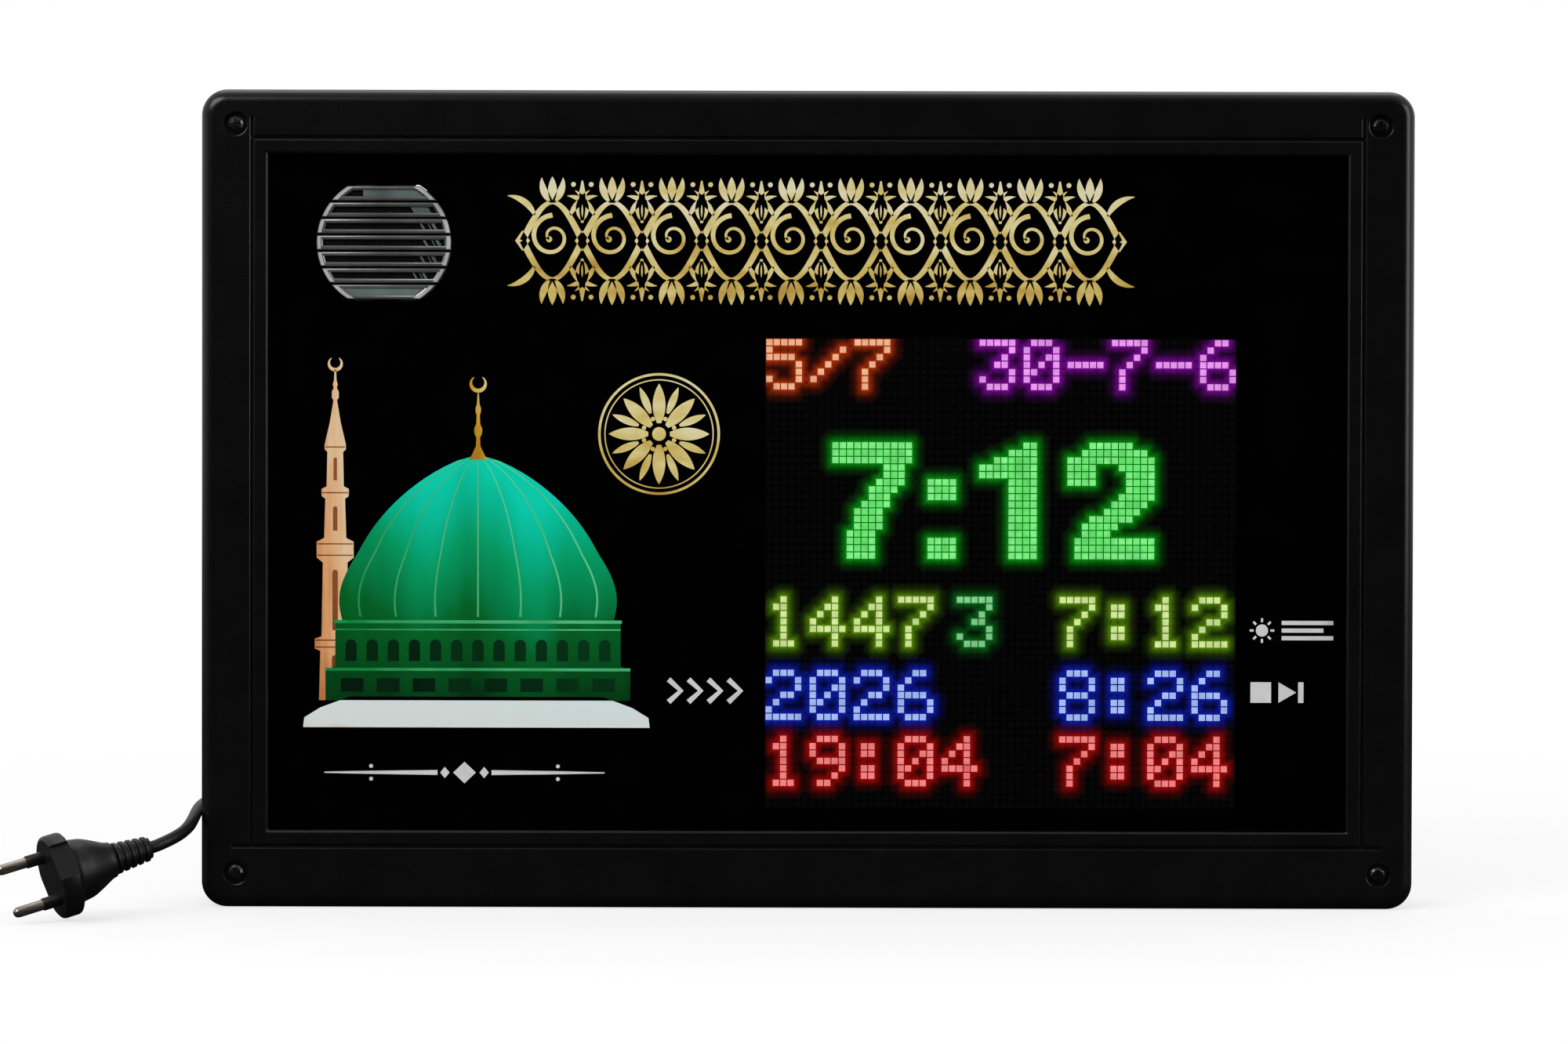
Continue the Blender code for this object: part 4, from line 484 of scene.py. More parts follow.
def groove_solids():
    """Cutters for the shallow lines, their mouths flared to soft edges."""
    left, right = RAILS_LOW.x + FACE_WIDTHS["side"], RAILS_HIGH.x - FACE_WIDTHS["side"]
    low, high = RAILS_LOW.z + FACE_WIDTHS["bottom"], RAILS_HIGH.z - FACE_WIDTHS["top"]
    half = GROOVE_WIDTH / 2
    uprights = bmesh.new()
    crosses = bmesh.new()
    bars = [(uprights, x - half, x + half, low, high + GROOVE_RUN_ON) for x in (left, right)]
    bars.append((crosses, left - GROOVE_RUN_ON, right + GROOVE_RUN_ON, low - half, low + half))
    bars.append((crosses, left, right, high - half, high + half))
    for bm, x_low, x_high, z_low, z_high in bars:
        loops = []
        for sink, flare in GROOVE_MOUTH:
            west, east = x_low - flare * MM, x_high + flare * MM
            foot, head = z_low - flare * MM, z_high + flare * MM
            corners = ((west, foot), (east, foot), (east, head), (west, head))
            loops.append(loop_at(bm, corners, RAILS_LOW.y + sink * MM))
        capped(bm, loops)
    return uprights, crosses


def well_solids():
    """Cutters for the corner screws' wells and holes."""
    wells = bmesh.new()
    holes = bmesh.new()
    front = RAILS_LOW.y
    for x in (RAILS_LOW.x + WELL_INSET, RAILS_HIGH.x - WELL_INSET):
        for z in (RAILS_LOW.z + WELL_INSET, RAILS_HIGH.z - WELL_INSET):
            loops = []
            for sink, flare in WELL_MOUTH:
                loops.append(loop_at(wells, circle((x, z), WELL_RADIUS + flare * MM, 40), front + sink * MM))
            capped(wells, loops)
            hole = circle((x, z), WELL_HOLE_RADIUS, 20)
            capped(holes, [loop_at(holes, hole, front + sink) for sink in (MM, FRONT_WALL + MM)])
    return wells, holes


def cut(body, solids):
    """Cuts solids out of an object, one after the other."""
    cutters = []
    for bm in solids:
        bmesh.ops.recalc_face_normals(bm, faces=bm.faces)
        cutters.append(meshed("cutter", bm))
        modifier = body.modifiers.new("cut", "BOOLEAN")
        modifier.object = cutters[-1]
        modifier.operation = "DIFFERENCE"
        modifier.solver = "EXACT"
    bpy.context.view_layer.update()
    done = bpy.data.meshes.new_from_object(body.evaluated_get(bpy.context.evaluated_depsgraph_get()))
    body.modifiers.clear()
    body.data = done
    for cutter in cutters:
        bpy.data.objects.remove(cutter)


def frame_pieces():
    """The four rails and four corners, parted from one ring."""
    whole = meshed("frame_ring", frame_ring())
    cut(whole, (*groove_solids(), *well_solids()))
    left = RAILS_LOW.x + CORNER_REACH
    right = RAILS_HIGH.x - CORNER_REACH
    low = RAILS_LOW.z + CORNER_REACH
    high = RAILS_HIGH.z - CORNER_REACH
    spans = {
        "top_rail": (left, right, high, None),
        "bottom_rail": (left, right, None, low),
        "left_rail": (None, left, low, high),
        "right_rail": (right, None, low, high),
        "corner_bottom_left": (None, left, None, low),
        "corner_bottom_right": (right, None, None, low),
        "corner_top_left": (None, left, high, None),
        "corner_top_right": (right, None, high, None),
    }
    outwards = ((-1, 0, 0), (1, 0, 0), (0, 0, -1), (0, 0, 1))
    for name, limits in spans.items():
        bm = bmesh.new()
        bm.from_mesh(whole.data)
        for limit, normal in zip(limits, outwards):
            if limit is None:
                continue
            point = (limit, 0, 0) if normal[0] else (0, 0, limit)
            everything = bm.verts[:] + bm.edges[:] + bm.faces[:]
            found = bmesh.ops.bisect_plane(
                bm, geom=everything, plane_co=point, plane_no=normal, clear_outer=True
            )["geom_cut"]
            edges = [item for item in found if isinstance(item, bmesh.types.BMEdge)]
            bmesh.ops.holes_fill(bm, edges=edges, sides=0)
        corner = name.startswith("corner")
        look, slot = (CORNER_PLASTIC, "corner_black") if corner else (CASE_PLASTIC, "case_black")
        made = piece("dressed_" + name, bm, look, 14.0, (name,))
        made.modifiers.new("flat_faces", "WEIGHTED_NORMAL").keep_sharp = True
    bpy.data.objects.remove(whole)


# The display: dots on a square grid, some of them lit

DOTS = 64
GRID_MARGIN = 0.4 * MM
DOT_PITCH = (MODULE_HIGH.x - MODULE_LOW.x - 2 * GRID_MARGIN) / DOTS
GRID_LEFT = MODULE_LOW.x + GRID_MARGIN
GRID_TOP = MODULE_LOW.z + DOT_PITCH * DOTS
DOT_SIZE = 2.5 * MM
UNLIT_SIZE = 2.0 * MM
DOT_RISE = 0.1 * MM
DOT_LIFT = 0.01 * MM
GLOW_LIFT = 0.005 * MM
FACE = MODULE_LOW.y
GLOW_STEPS = 4
GLOW_REACH = 2
SPILL_SHARE = 0.5
SPILL_FALL = 0.4
SPILL_END = 1.6

SMALL_GLYPHS = {
    "0": ("01110", "10001", "10011", "10101", "11001", "10001", "01110"),
    "1": ("00100", "01100", "00100", "00100", "00100", "00100", "01110"),
    "2": ("01110", "10001", "00001", "00110", "01000", "10000", "11111"),
    "3": ("11111", "00001", "00010", "00110", "00001", "10001", "01110"),
    "4": ("00010", "00110", "01010", "10010", "11111", "00010", "00010"),
    "5": ("11111", "10000", "11110", "00001", "00001", "10001", "01110"),
    "6": ("00110", "01000", "10000", "11110", "10001", "10001", "01110"),
    "7": ("11111", "00001", "00010", "00100", "01000", "01000", "01000"),
    "8": ("01110", "10001", "10001", "01110", "10001", "10001", "01110"),
    "9": ("01110", "10001", "10001", "01111", "00001", "00010", "01100"),
    ":": ("00000", "01100", "01100", "00000", "01100", "01100", "00000"),
    "-": ("00000", "00000", "00000", "11111", "00000", "00000", "00000"),
    "/": ("00000", "00001", "00010", "00100", "01000", "10000", "00000"),
}
BIG_SEVEN = (
    "11111111111",
    "11111111111",
    "11111111111",
    "00000001110",
    "00000001110",
    "00000011110",
    "00000111100",
    "00000111000",
    "00001111000",
    "00011110000",
    "00011110000",
    "00011110000",
    "00111100000",
    "00111100000",
    "00111100000",
    "00111100000",
)
BIG_ONE = (
    "00000011",
    "00001111",
    "00111111",
    "11111111",
    "11111111",
    *("00001111",) * 11,
)
BIG_TWO = (
    "000111111000",
    "001111111110",
    "111111111111",
    "111100011111",
    "111100001111",
    "111100001111",
    "000000001111",
    "000000011111",
    "000000111110",
    "000001111100",
    "000111111000",
    "001111100000",
    "001111000000",
    "011111111111",
    "011111111111",
    "011111111111",
)
COLON_BLOCK = ("1111", "1111", "1111")

ORANGE = ((255, 190, 148), (255, 76, 14))
MAGENTA = ((250, 162, 255), (186, 16, 226))
GREEN = ((132, 252, 140), (14, 214, 30))
LIME = ((222, 244, 160), (132, 206, 14))
LEAF_GREEN = ((134, 220, 146), (14, 156, 46))
BLUE = ((174, 198, 255), (26, 50, 255))
RED = ((255, 138, 136), (240, 12, 12))


def lit_dots():
    """Every lit dot, as column and row from the top left, with its colours."""
    lit = {}

    def draw(rows, column, row, colours):
        for down, line in enumerate(rows):
            for across, mark in enumerate(line):
                if mark == "1":
                    lit[(column + across, row + down)] = colours

    def write(text, column, row, colours):
        for index, sign in enumerate(text):
            draw(SMALL_GLYPHS[sign], column + 6 * index, row, colours)

    write("5/7", 0, 0, ORANGE)
    write("30-7-6", 29, 0, MAGENTA)
    draw(BIG_SEVEN, 9, 14, GREEN)
    draw(COLON_BLOCK, 22, 19, GREEN)
    draw(COLON_BLOCK, 22, 27, GREEN)
    draw(BIG_ONE, 29, 14, GREEN)
    draw(BIG_TWO, 41, 14, GREEN)
    write("1447", 0, 35, LIME)
    write("3", 26, 35, LEAF_GREEN)
    write("7:12", 40, 35, LIME)
    write("2026", 0, 45, BLUE)
    write("8:26", 40, 45, BLUE)
    write("19:04", 0, 54, RED)
    write("7:04", 40, 54, RED)
    return lit


def add_dot(bm, column, row, size, colour_at):
    """A small pad with sloping sides, coloured at each corner."""
    half = size / 2
    x = GRID_LEFT + (column + 0.5) * DOT_PITCH
    z = GRID_TOP - (row + 0.5) * DOT_PITCH
    rings = []
    for reach, y in ((half - DOT_RISE, FACE - DOT_RISE), (half, FACE - DOT_LIFT)):
        corners = [(x + a * reach, z + b * reach) for a, b in ((-1, -1), (1, -1), (1, 1), (-1, 1))]
        rings.append(loop_at(bm, corners, y))
    bm.faces.new(rings[0])
    bridge(bm, rings[1], rings[0])
    layer = bm.verts.layers.float_color["shine"]
    for vert in rings[0] + rings[1]:
        vert[layer] = colour_at(vert.co)


def painted_spill_at(column, row, lit):
    """The light that spills to a place on the face, in dots, from the lit dots near it: a painted glow, given
    off by the face itself.
    """
    half = DOT_SIZE / DOT_PITCH / 2
    nearest = {}
    for near_column in range(int(column) - GLOW_REACH, int(column) + GLOW_REACH + 1):
        for near_row in range(int(row) - GLOW_REACH, int(row) + GLOW_REACH + 1):
            colours = lit.get((near_column, near_row))
            if colours:
                across = max(0.0, abs(column - near_column - 0.5) - half)
                down = max(0.0, abs(row - near_row - 0.5) - half)
                nearest[colours] = min(nearest.get(colours, SPILL_END), math.hypot(across, down))
    total = Vector((0.0, 0.0, 0.0))
    for colours, away in nearest.items():
        if away < SPILL_END:
            total += Vector(linear(colours[1])[:3]) * SPILL_SHARE * math.exp(-away / SPILL_FALL)
    return (*total, 1.0)


def display():
    """Unlit dots, lit dots and the glow between them; the glow on the face and on the unlit dots is painted
    light, given off as colour.
    """
    lit = lit_dots()
    dark, bright, glow = [bmesh.new() for _ in range(3)]
    for bm in (dark, bright, glow):
        bm.verts.layers.float_color.new("shine")
    uneven = random.Random(7)

    def painted_spill(place):
        return painted_spill_at((place.x - GRID_LEFT) / DOT_PITCH, (GRID_TOP - place.z) / DOT_PITCH, lit)

    for column in range(DOTS):
        for row in range(DOTS):
            colours = lit.get((column, row))
            if colours is None:
                # Unlit dots carry the painted glow of the lit dots near them.
                add_dot(dark, column, row, UNLIT_SIZE, painted_spill)
                continue
            level = uneven.uniform(0.93, 1.06)
            around = [(column + a, row + b) in lit for a, b in ((1, 0), (-1, 0), (0, 1), (0, -1))]
            share = 0.3 if all(around) else 0.0
            tint, deep = linear(colours[0]), linear(colours[1])
            colour = (*[(a * (1 - share) + b * share) * level for a, b in zip(tint[:3], deep)], 1.0)
            add_dot(bright, column, row, DOT_SIZE, lambda place: colour)
    # The glow sheet: painted light around the lit dots, given off by a thin sheet on the face.
    reach = range(-GLOW_REACH, GLOW_REACH + 1)
    near = {(column + a, row + b) for column, row in lit for a in reach for b in reach}
    layer = glow.verts.layers.float_color["shine"]
    made = {}

    def corner(*key):
        if key not in made:
            x = GRID_LEFT + key[0] / GLOW_STEPS * DOT_PITCH
            z = GRID_TOP - key[1] / GLOW_STEPS * DOT_PITCH
            made[key] = glow.verts.new((x, FACE - GLOW_LIFT, z))
            made[key][layer] = painted_spill(made[key].co)
        return made[key]

    for column, row in sorted(near):
        if not (0 <= column < DOTS and 0 <= row < DOTS):
            continue
        for c in range(column * GLOW_STEPS, (column + 1) * GLOW_STEPS):
            for r in range(row * GLOW_STEPS, (row + 1) * GLOW_STEPS):
                glow.faces.new((corner(c, r + 1), corner(c + 1, r + 1), corner(c + 1, r), corner(c, r)))
    # The glow sheet and the unlit dots give off painted glow; only the lit dots are the display's own light.
    piece("display_dots", dark, shining("unlit_dots", 5, 10, 0.03))
    piece("display_lit", bright, shining("lit_dots", 16, 26, 0.2))
    piece("display_painted_glow", glow, shining("glow", 1, 3, 0.04))


# The gold band: interlaced vines with scrolls, leaves and beads

BAND_LEFT = -116
BAND_RIGHT = 126.5
BAND_LOW = 245
BAND_HIGH = 297
BAND_WAVES = 5


def add_leaf(bm, root, degrees, length, width, curl=0.0):
    """A pointed leaf from its root, with a slight curl."""
    line = []
    widths = []
    for share in [index / 10 for index in range(11)]:
        angle = math.radians(degrees) + curl * share
        line.append((root[0] + length * share * math.cos(angle), root[1] + length * share * math.sin(angle)))
        widths.append(max(width * math.sin(math.pi * min(1.0, share * 0.92 + 0.08)) ** 0.8, 0.12))
    add_stroke(bm, line, widths)


def add_scroll(bm, centre, radius, turns, width):
    """A spiral that thins towards its middle and ends in a bead."""
    line = []
    widths = []
    steps = int(26 * turns)
    for share in [index / steps for index in range(steps + 1)]:
        angle = math.pi / 2 + 2 * math.pi * turns * share
        reach = radius * (1 - 0.82 * share)
        line.append((centre[0] + reach * math.cos(angle), centre[1] + reach * math.sin(angle)))
        widths.append(width * (1 - 0.55 * share))
    add_stroke(bm, line, widths)
    add_plate(bm, circle(line[-1], width * 0.62, 12))


def add_diamond(bm, centre, half_wide, half_high):
    x, z = centre
    add_plate(bm, [(x + half_wide, z), (x, z + half_high), (x - half_wide, z), (x, z - half_high)])


def gold_band():
    """The gold ornament across the top of the front."""
    bm = bmesh.new()
    length = BAND_RIGHT - BAND_LEFT
    middle = (BAND_LOW + BAND_HIGH) / 2
    height = BAND_HIGH - BAND_LOW
    lobe = length / (2 * BAND_WAVES)
    steps = 36 * BAND_WAVES
    for hand in (1, -1):
        line = []
        widths = []
        for share in [index / steps for index in range(steps + 1)]:
            phase = 2 * math.pi * BAND_WAVES * share
            line.append((BAND_LEFT + length * share, middle + hand * height * 0.3 * math.sin(phase)))
            widths.append(1.5 + 1.1 * abs(math.cos(phase)))
        add_stroke(bm, line, widths)
    for index in range(2 * BAND_WAVES):
        x = BAND_LEFT + lobe * (index + 0.5)
        add_scroll(bm, (x, middle + height * 0.03), height * 0.17, 1.35, 2.0)
        for up in (1, -1):
            crest = middle + up * height * 0.3
            add_leaf(bm, (x, crest), 90 * up, height * 0.2, 3.6)
            for side in (1, -1):
                add_leaf(bm, (x, crest), 90 * up - up * side * 52, height * 0.21, 3.0, up * side * 0.5)
                root = (x + side * lobe * 0.3, middle + up * height * 0.2)
                add_leaf(bm, root, 90 * up - up * side * 20, height * 0.26, 2.6, -up * side * 0.6)
    for index in range(2 * BAND_WAVES + 1):
        x = BAND_LEFT + lobe * index
        add_diamond(bm, (x, middle), 3.0, 4.2)
        for up in (1, -1) if 0 < index < 2 * BAND_WAVES else ():
            line = [(x, middle + up * height * share) for share in (0.14, 0.22, 0.3, 0.38, 0.47)]
            add_stroke(bm, line, [1.0, 2.4, 2.8, 2.4, 0.6])
            for side in (1, -1):
                root = (x, middle + up * height * 0.16)
                add_leaf(bm, root, 90 * up - up * side * 38, height * 0.24, 2.4, up * side * 0.9)
                add_plate(bm, circle((x + side * 3.6, middle + up * height * 0.44), 1.0, 12))
    piece("gold_band", bm, GOLD_BAND_INK)


# The round gold ornament beside the display

SEAL = (-60.4, 192.6)
SEAL_RADIUS = 25


def gold_seal():
    """An eight-fold rosette inside a thin ring."""
    bm = bmesh.new()
    for radius, width in ((0.97, 1.0), (0.88, 0.5)):
        outline = circle(SEAL, SEAL_RADIUS * radius, 96)
        add_stroke(bm, outline + outline[:1], width)
    for angle in range(0, 360, 45):
        between = angle + 22.5
        add_leaf(bm, circle(SEAL, 4.4, 1, angle, angle)[0], angle, 16, 5.2)
        add_leaf(bm, circle(SEAL, 9, 1, between, between)[0], between, 11.5, 3.0)
        add_plate(bm, circle(circle(SEAL, 6.6, 1, between, between)[0], 0.9, 12))
    add_plate(bm, circle(SEAL, 2.8, 24))
    piece("gold_seal", bm, GOLD_SEAL_INK)


# The printed picture: a domed hall and a slender tower

DOME_X = -133.9
DOME_HALF = 55
DOME_STEPS = 28
DRUM_TOP = 116
APEX = 184
LOW_WALL = 96
TOWER_X = -192
LAYER_STEP = 0.03 * MM
BASE_OUTLINE = (
    (-205, 73), (-64, 73), (-64.5, 77), (-71, 81), (-83, 85.5), (-186, 85.5), (-198, 81), (-204.5, 77),
)
SPIRE = (
    (0.0, 7.6), (2.0, 5.0), (4.0, 3.2), (5.4, 1.8), (9.0, 1.5), (10.5, 3.0), (12.5, 3.3), (14.5, 1.6),
    (18.0, 1.2), (19.5, 2.2), (21.0, 2.2), (22.5, 1.0), (27.0, 0.5),
)
TOWER = (
    (84.0, 13.0), (104.0, 12.0), (105.0, 16.5), (109.0, 16.5), (110.0, 11.0), (140.0, 10.0), (142.0, 15.0),
    (148.5, 15.0), (150.0, 9.0), (166.0, 8.0), (167.0, 11.0), (170.0, 11.0), (171.0, 7.0), (185.0, 6.4),
    (186.0, 8.6), (188.0, 8.6), (197.0, 4.4), (206.0, 1.4), (207.0, 2.8), (209.5, 2.8), (211.0, 1.2),
    (212.5, 2.0), (214.0, 1.0), (218.5, 0.7),
)
WINDOWS = ((112.5, 136.0, 2.2), (153.0, 162.0, 1.8), (88.0, 101.0, 2.6), (173.5, 182.0, 1.4))
LEDGES = ((105.6, 8.0), (108.4, 8.0), (143.0, 7.2), (147.6, 7.2), (168.4, 5.2), (187.0, 4.0))
PRINTS = {
    "dome_green": (
        ((0.22, (0, 60, 18)), (0.4, (0, 112, 42)), (0.55, (0, 176, 112)), (0.72, (6, 234, 198))),
        (0.0, 0.55), (24.0, 1.0, 4.0), DOME_X, 84, 190, DOME_HALF,
    ),
    "dome_light": (
        ((0.3, (20, 150, 70)), (0.7, (110, 236, 170))),
        (0.3, 0.3), (60.0, 1.0, 6.0), DOME_X, 80, 190, DOME_HALF,
    ),
    "dome_dark": (
        ((0.3, (0, 34, 14)), (0.7, (2, 62, 26))), (0.3, 0.2), (60.0, 1.0, 20.0), DOME_X, 80, 120, DOME_HALF,
    ),
    "finial_gold": (
        ((0.3, (168, 110, 20)), (0.5, (226, 172, 50)), (0.75, (246, 222, 150))),
        (0.4, 0.2), (200.0, 1.0, 60.0), DOME_X, 180, 215, 6,
    ),
    "stone_pale": (
        ((0.2, (240, 214, 160)), (0.36, (244, 250, 246)), (0.7, (240, 255, 255))),
        (0.1, 0.2), (30.0, 1.0, 120.0), DOME_X, 73, 84, 70,
    ),
    "stone_peach": (
        ((0.2, (206, 124, 70)), (0.38, (246, 178, 120)), (0.55, (255, 212, 164)), (0.75, (255, 244, 226))),
        (0.35, 0.25), (300.0, 1.0, 40.0), -191, 80, 226, 9,
    ),
    "stone_shade": (
        ((0.3, (112, 60, 30)), (0.7, (168, 100, 58))), (0.3, 0.2), (300.0, 1.0, 80.0), TOWER_X, 84, 170, 9,
    ),
}


def dome_place(side, share):
    """A place on a line up the dome, a swelling shape that rises to a point."""
    swell = max(0.0, 1 - share**2.1) ** 0.72
    width = swell + 0.05 * math.sin(math.pi * min(1.0, share * 2.4)) * (1 - share)
    return DOME_X + side * DOME_HALF * width, DRUM_TOP + (APEX - DRUM_TOP) * share


def picture():
    """The whole picture, layer by layer, each a little in front of the last."""
    layers = [PRINT_BACK - level * LAYER_STEP for level in range(6)]

    def layer(name, look, plates=(), strokes=(), front=4, back=3):
        """One printed piece, between two of the layers."""
        bm = bmesh.new()
        for outline in plates:
            add_plate(bm, outline, layers[front], layers[back])
        for line, widths in strokes:
            add_stroke(bm, line, widths, layers[front], layers[back])
        piece("picture_" + name, bm, printed(look, *PRINTS[look]))

    def moon(x, z, radius, width):
        widths = [0.3 + width * math.sin(math.pi * index / 20) for index in range(21)]
        return circle((x, z), radius, 20, 125.0, 415.0), widths

    layer("base", "stone_pale", [BASE_OUTLINE], front=3, back=2)

    walls = [(62, 84), (62, LOW_WALL), (58, 98), (58, DRUM_TOP)]
    right = [(DOME_X + x, z) for x, z in walls]
    left = [(DOME_X - x, z) for x, z in walls[:0:-1]]
    rise = [index / DOME_STEPS for index in range(DOME_STEPS + 1)]
    dome = [dome_place(1, share) for share in rise] + [dome_place(-1, share) for share in rise[-2::-1]]
    layer("dome", "dome_green", [[(DOME_X - 62, 84), *right, *dome, *left]], front=3, back=2)

    rise = [0.03 + 0.94 * index / 20 for index in range(21)]
    ribs = []
    for across in (-0.86, -0.6, -0.31, 0.0, 0.31, 0.6, 0.86):
        ribs.append(([dome_place(across, share) for share in rise], [0.9 - 0.6 * share for share in rise]))
    for z, half, width in ((DRUM_TOP, 58.5, 1.3), (DRUM_TOP - 3.2, 58, 0.6), (LOW_WALL + 0.6, 62, 1.2)):
        ribs.append(([(DOME_X - half, z), (DOME_X, z), (DOME_X + half, z)], width))
    layer("ribs", "dome_light", strokes=ribs)

    arches = []
    for x in [DOME_X + (index - 6) * 8.6 for index in range(13)]:
        arches.append([(x - 2.3, 100), (x + 2.3, 100), *circle((x, 106.5), 2.3, 10, 0.0, 180.0)])
    for x in [DOME_X + (index - 3.5) * 14.6 for index in range(8)]:
        arches.append([(x - 4.6, 87.5), (x + 4.6, 87.5), (x + 4.6, 93), (x - 4.6, 93)])
    layer("arches", "dome_dark", arches)

    spire = ([(DOME_X, APEX - 2 + up) for up, width in SPIRE], [width for up, width in SPIRE])
    layer("finial", "finial_gold", strokes=[spire, moon(DOME_X, 213, 3.0, 1.3)], front=5, back=2)

    tower = ([(TOWER_X, z) for z, width in TOWER], [width for z, width in TOWER])
    layer("tower", "stone_peach", strokes=[tower, moon(TOWER_X, 221.0, 2.6, 1.1)], front=1, back=0)

    windows = []
    for low, high, wide in WINDOWS:
        x, half = TOWER_X, wide / 2
        windows.append([(x - half, low), (x + half, low), *circle((x, high), half, 8, 0.0, 180.0)])
    ledges = []
    for z, half in LEDGES:
        ledges.append(([(TOWER_X + side * half, z) for side in (-1, 0, 1)], 0.5))
    layer("shade", "stone_shade", windows, ledges, front=2, back=1)


# Plain white signs beside the rows, and a divider under the picture

ARROWS = (-43.1325, 88.182)
SUN_ROW = (197.451, 113.26275)
STOP_ROW = (192.339, 88.02225)
DIVIDER = (-139.302, 54.6345)


def signs():
    """Arrow, sun and stop signs beside the rows, and a line with diamonds."""
    bm = bmesh.new()
    x, z = ARROWS
    for left in [x + shift for shift in (-13.2, -5.1, 3.0, 11.1)]:
        add_stroke(bm, [(left, z + 4.6), (left + 5.0, z), (left, z - 4.6)], 2.2)
    x, z = SUN_ROW
    sun = (x - 12.5, z)
    add_plate(bm, circle(sun, 2.5, 20))
    for inner, outer in zip(circle(sun, 3.4, 8), circle(sun, 5.0, 8)):
        add_stroke(bm, [inner, outer], 0.9)
    for row, reach in ((3.1, 21.0), (0.0, 17.0), (-3.1, 21.0)):
        add_stroke(bm, [(x - 4.5, z + row), (x - 4.5 + reach, z + row)], 1.7)
    x, z = STOP_ROW
    for start, end in ((-12, -3.6), (7.4, 9.6)):
        add_plate(bm, [(x + start, z - 4.2), (x + end, z - 4.2), (x + end, z + 4.2), (x + start, z + 4.2)])
    add_plate(bm, [(x - 0.6, z - 4.2), (x + 6.6, z), (x - 0.6, z + 4.2)])
    x, z = DIVIDER
    for side in (-1, 1):
        add_stroke(bm, [(x + side * reach, z) for reach in (11.0, 22.0, 40.0, 57.0)], [2.0, 1.7, 1.2, 0.5])
        add_diamond(bm, (x + side * 8.0, z), 1.9, 2.3)
        for up in (2.6, -2.6):
            add_plate(bm, circle((x + side * 38, z + up), 0.8, 12))
    add_diamond(bm, (x, z), 4.6, 4.4)
    whites = ((0.3, grey(222)), (0.7, grey(240)))
    piece("signs", bm, soft("white_ink", 140.0, whites, (0.45, 0.6), Specular_IOR_Level=0.2))


# The grille: chrome bars across a round opening, with painted highlights along their ends and painted
# reflections in their troughs

GRILLE_RADIUS = 27.2
GRILLE_HALF = 23.3
GRILLE_BARS = 7
BAR_GAP = 0.8
BAR_EDGE = 1.7
BAR_END = 2.6
BAR_SINK = 1.8 * MM
CAP_RISE = 0.06 * MM
CAP_WIDTH = 1.7
CAP_INSET = 0.35
# Where the painted reflection on the top bar starts, in millimetres from the grille's middle.
TOP_REFLECTION_START = -8.3
BAR_PROFILE = (
    (0.0, 1.0), (0.0, 0.32), (0.1, 0.14), (0.28, 0.03), (0.5, 0.0),
    (0.72, 0.05), (0.9, 0.2), (1.0, 0.42), (1.0, 1.0),
)
GRILLE_MIDDLE = ((GRILLE_LOW.x + GRILLE_HIGH.x) / 2 / MM, (GRILLE_LOW.z + GRILLE_HIGH.z) / 2 / MM)


def rim_place(radius, z, side):
    """A place on the round rim at a height over the grille's middle."""
    reach = math.sqrt(max(radius**2 - z**2, 0.0))
    return GRILLE_MIDDLE[0] + side * reach, GRILLE_MIDDLE[1] + z


def steps_between(low, high, count):
    return [low + (high - low) * index / count for index in range(count + 1)]


def bar_outline(low, high, share):
    """One bar's outline within the round rim, drawn in by a share of its edge."""
    heights = steps_between(low + BAR_EDGE * share, high - BAR_EDGE * share, 8)
    radius = GRILLE_RADIUS - BAR_END * share
    return [rim_place(radius, z, 1) for z in heights] + [rim_place(radius, z, -1) for z in heights[::-1]]


def bar_highlight_strip(low, high, side):
    """A painted highlight at a bar's end: a curved strip of brighter chrome along the round rim."""
    heights = steps_between(low + CAP_INSET, high - CAP_INSET, 4)
    outer = [rim_place(GRILLE_RADIUS - CAP_INSET, z, side) for z in heights]
    return outer + [rim_place(GRILLE_RADIUS - CAP_WIDTH, z, side) for z in heights[::-1]]


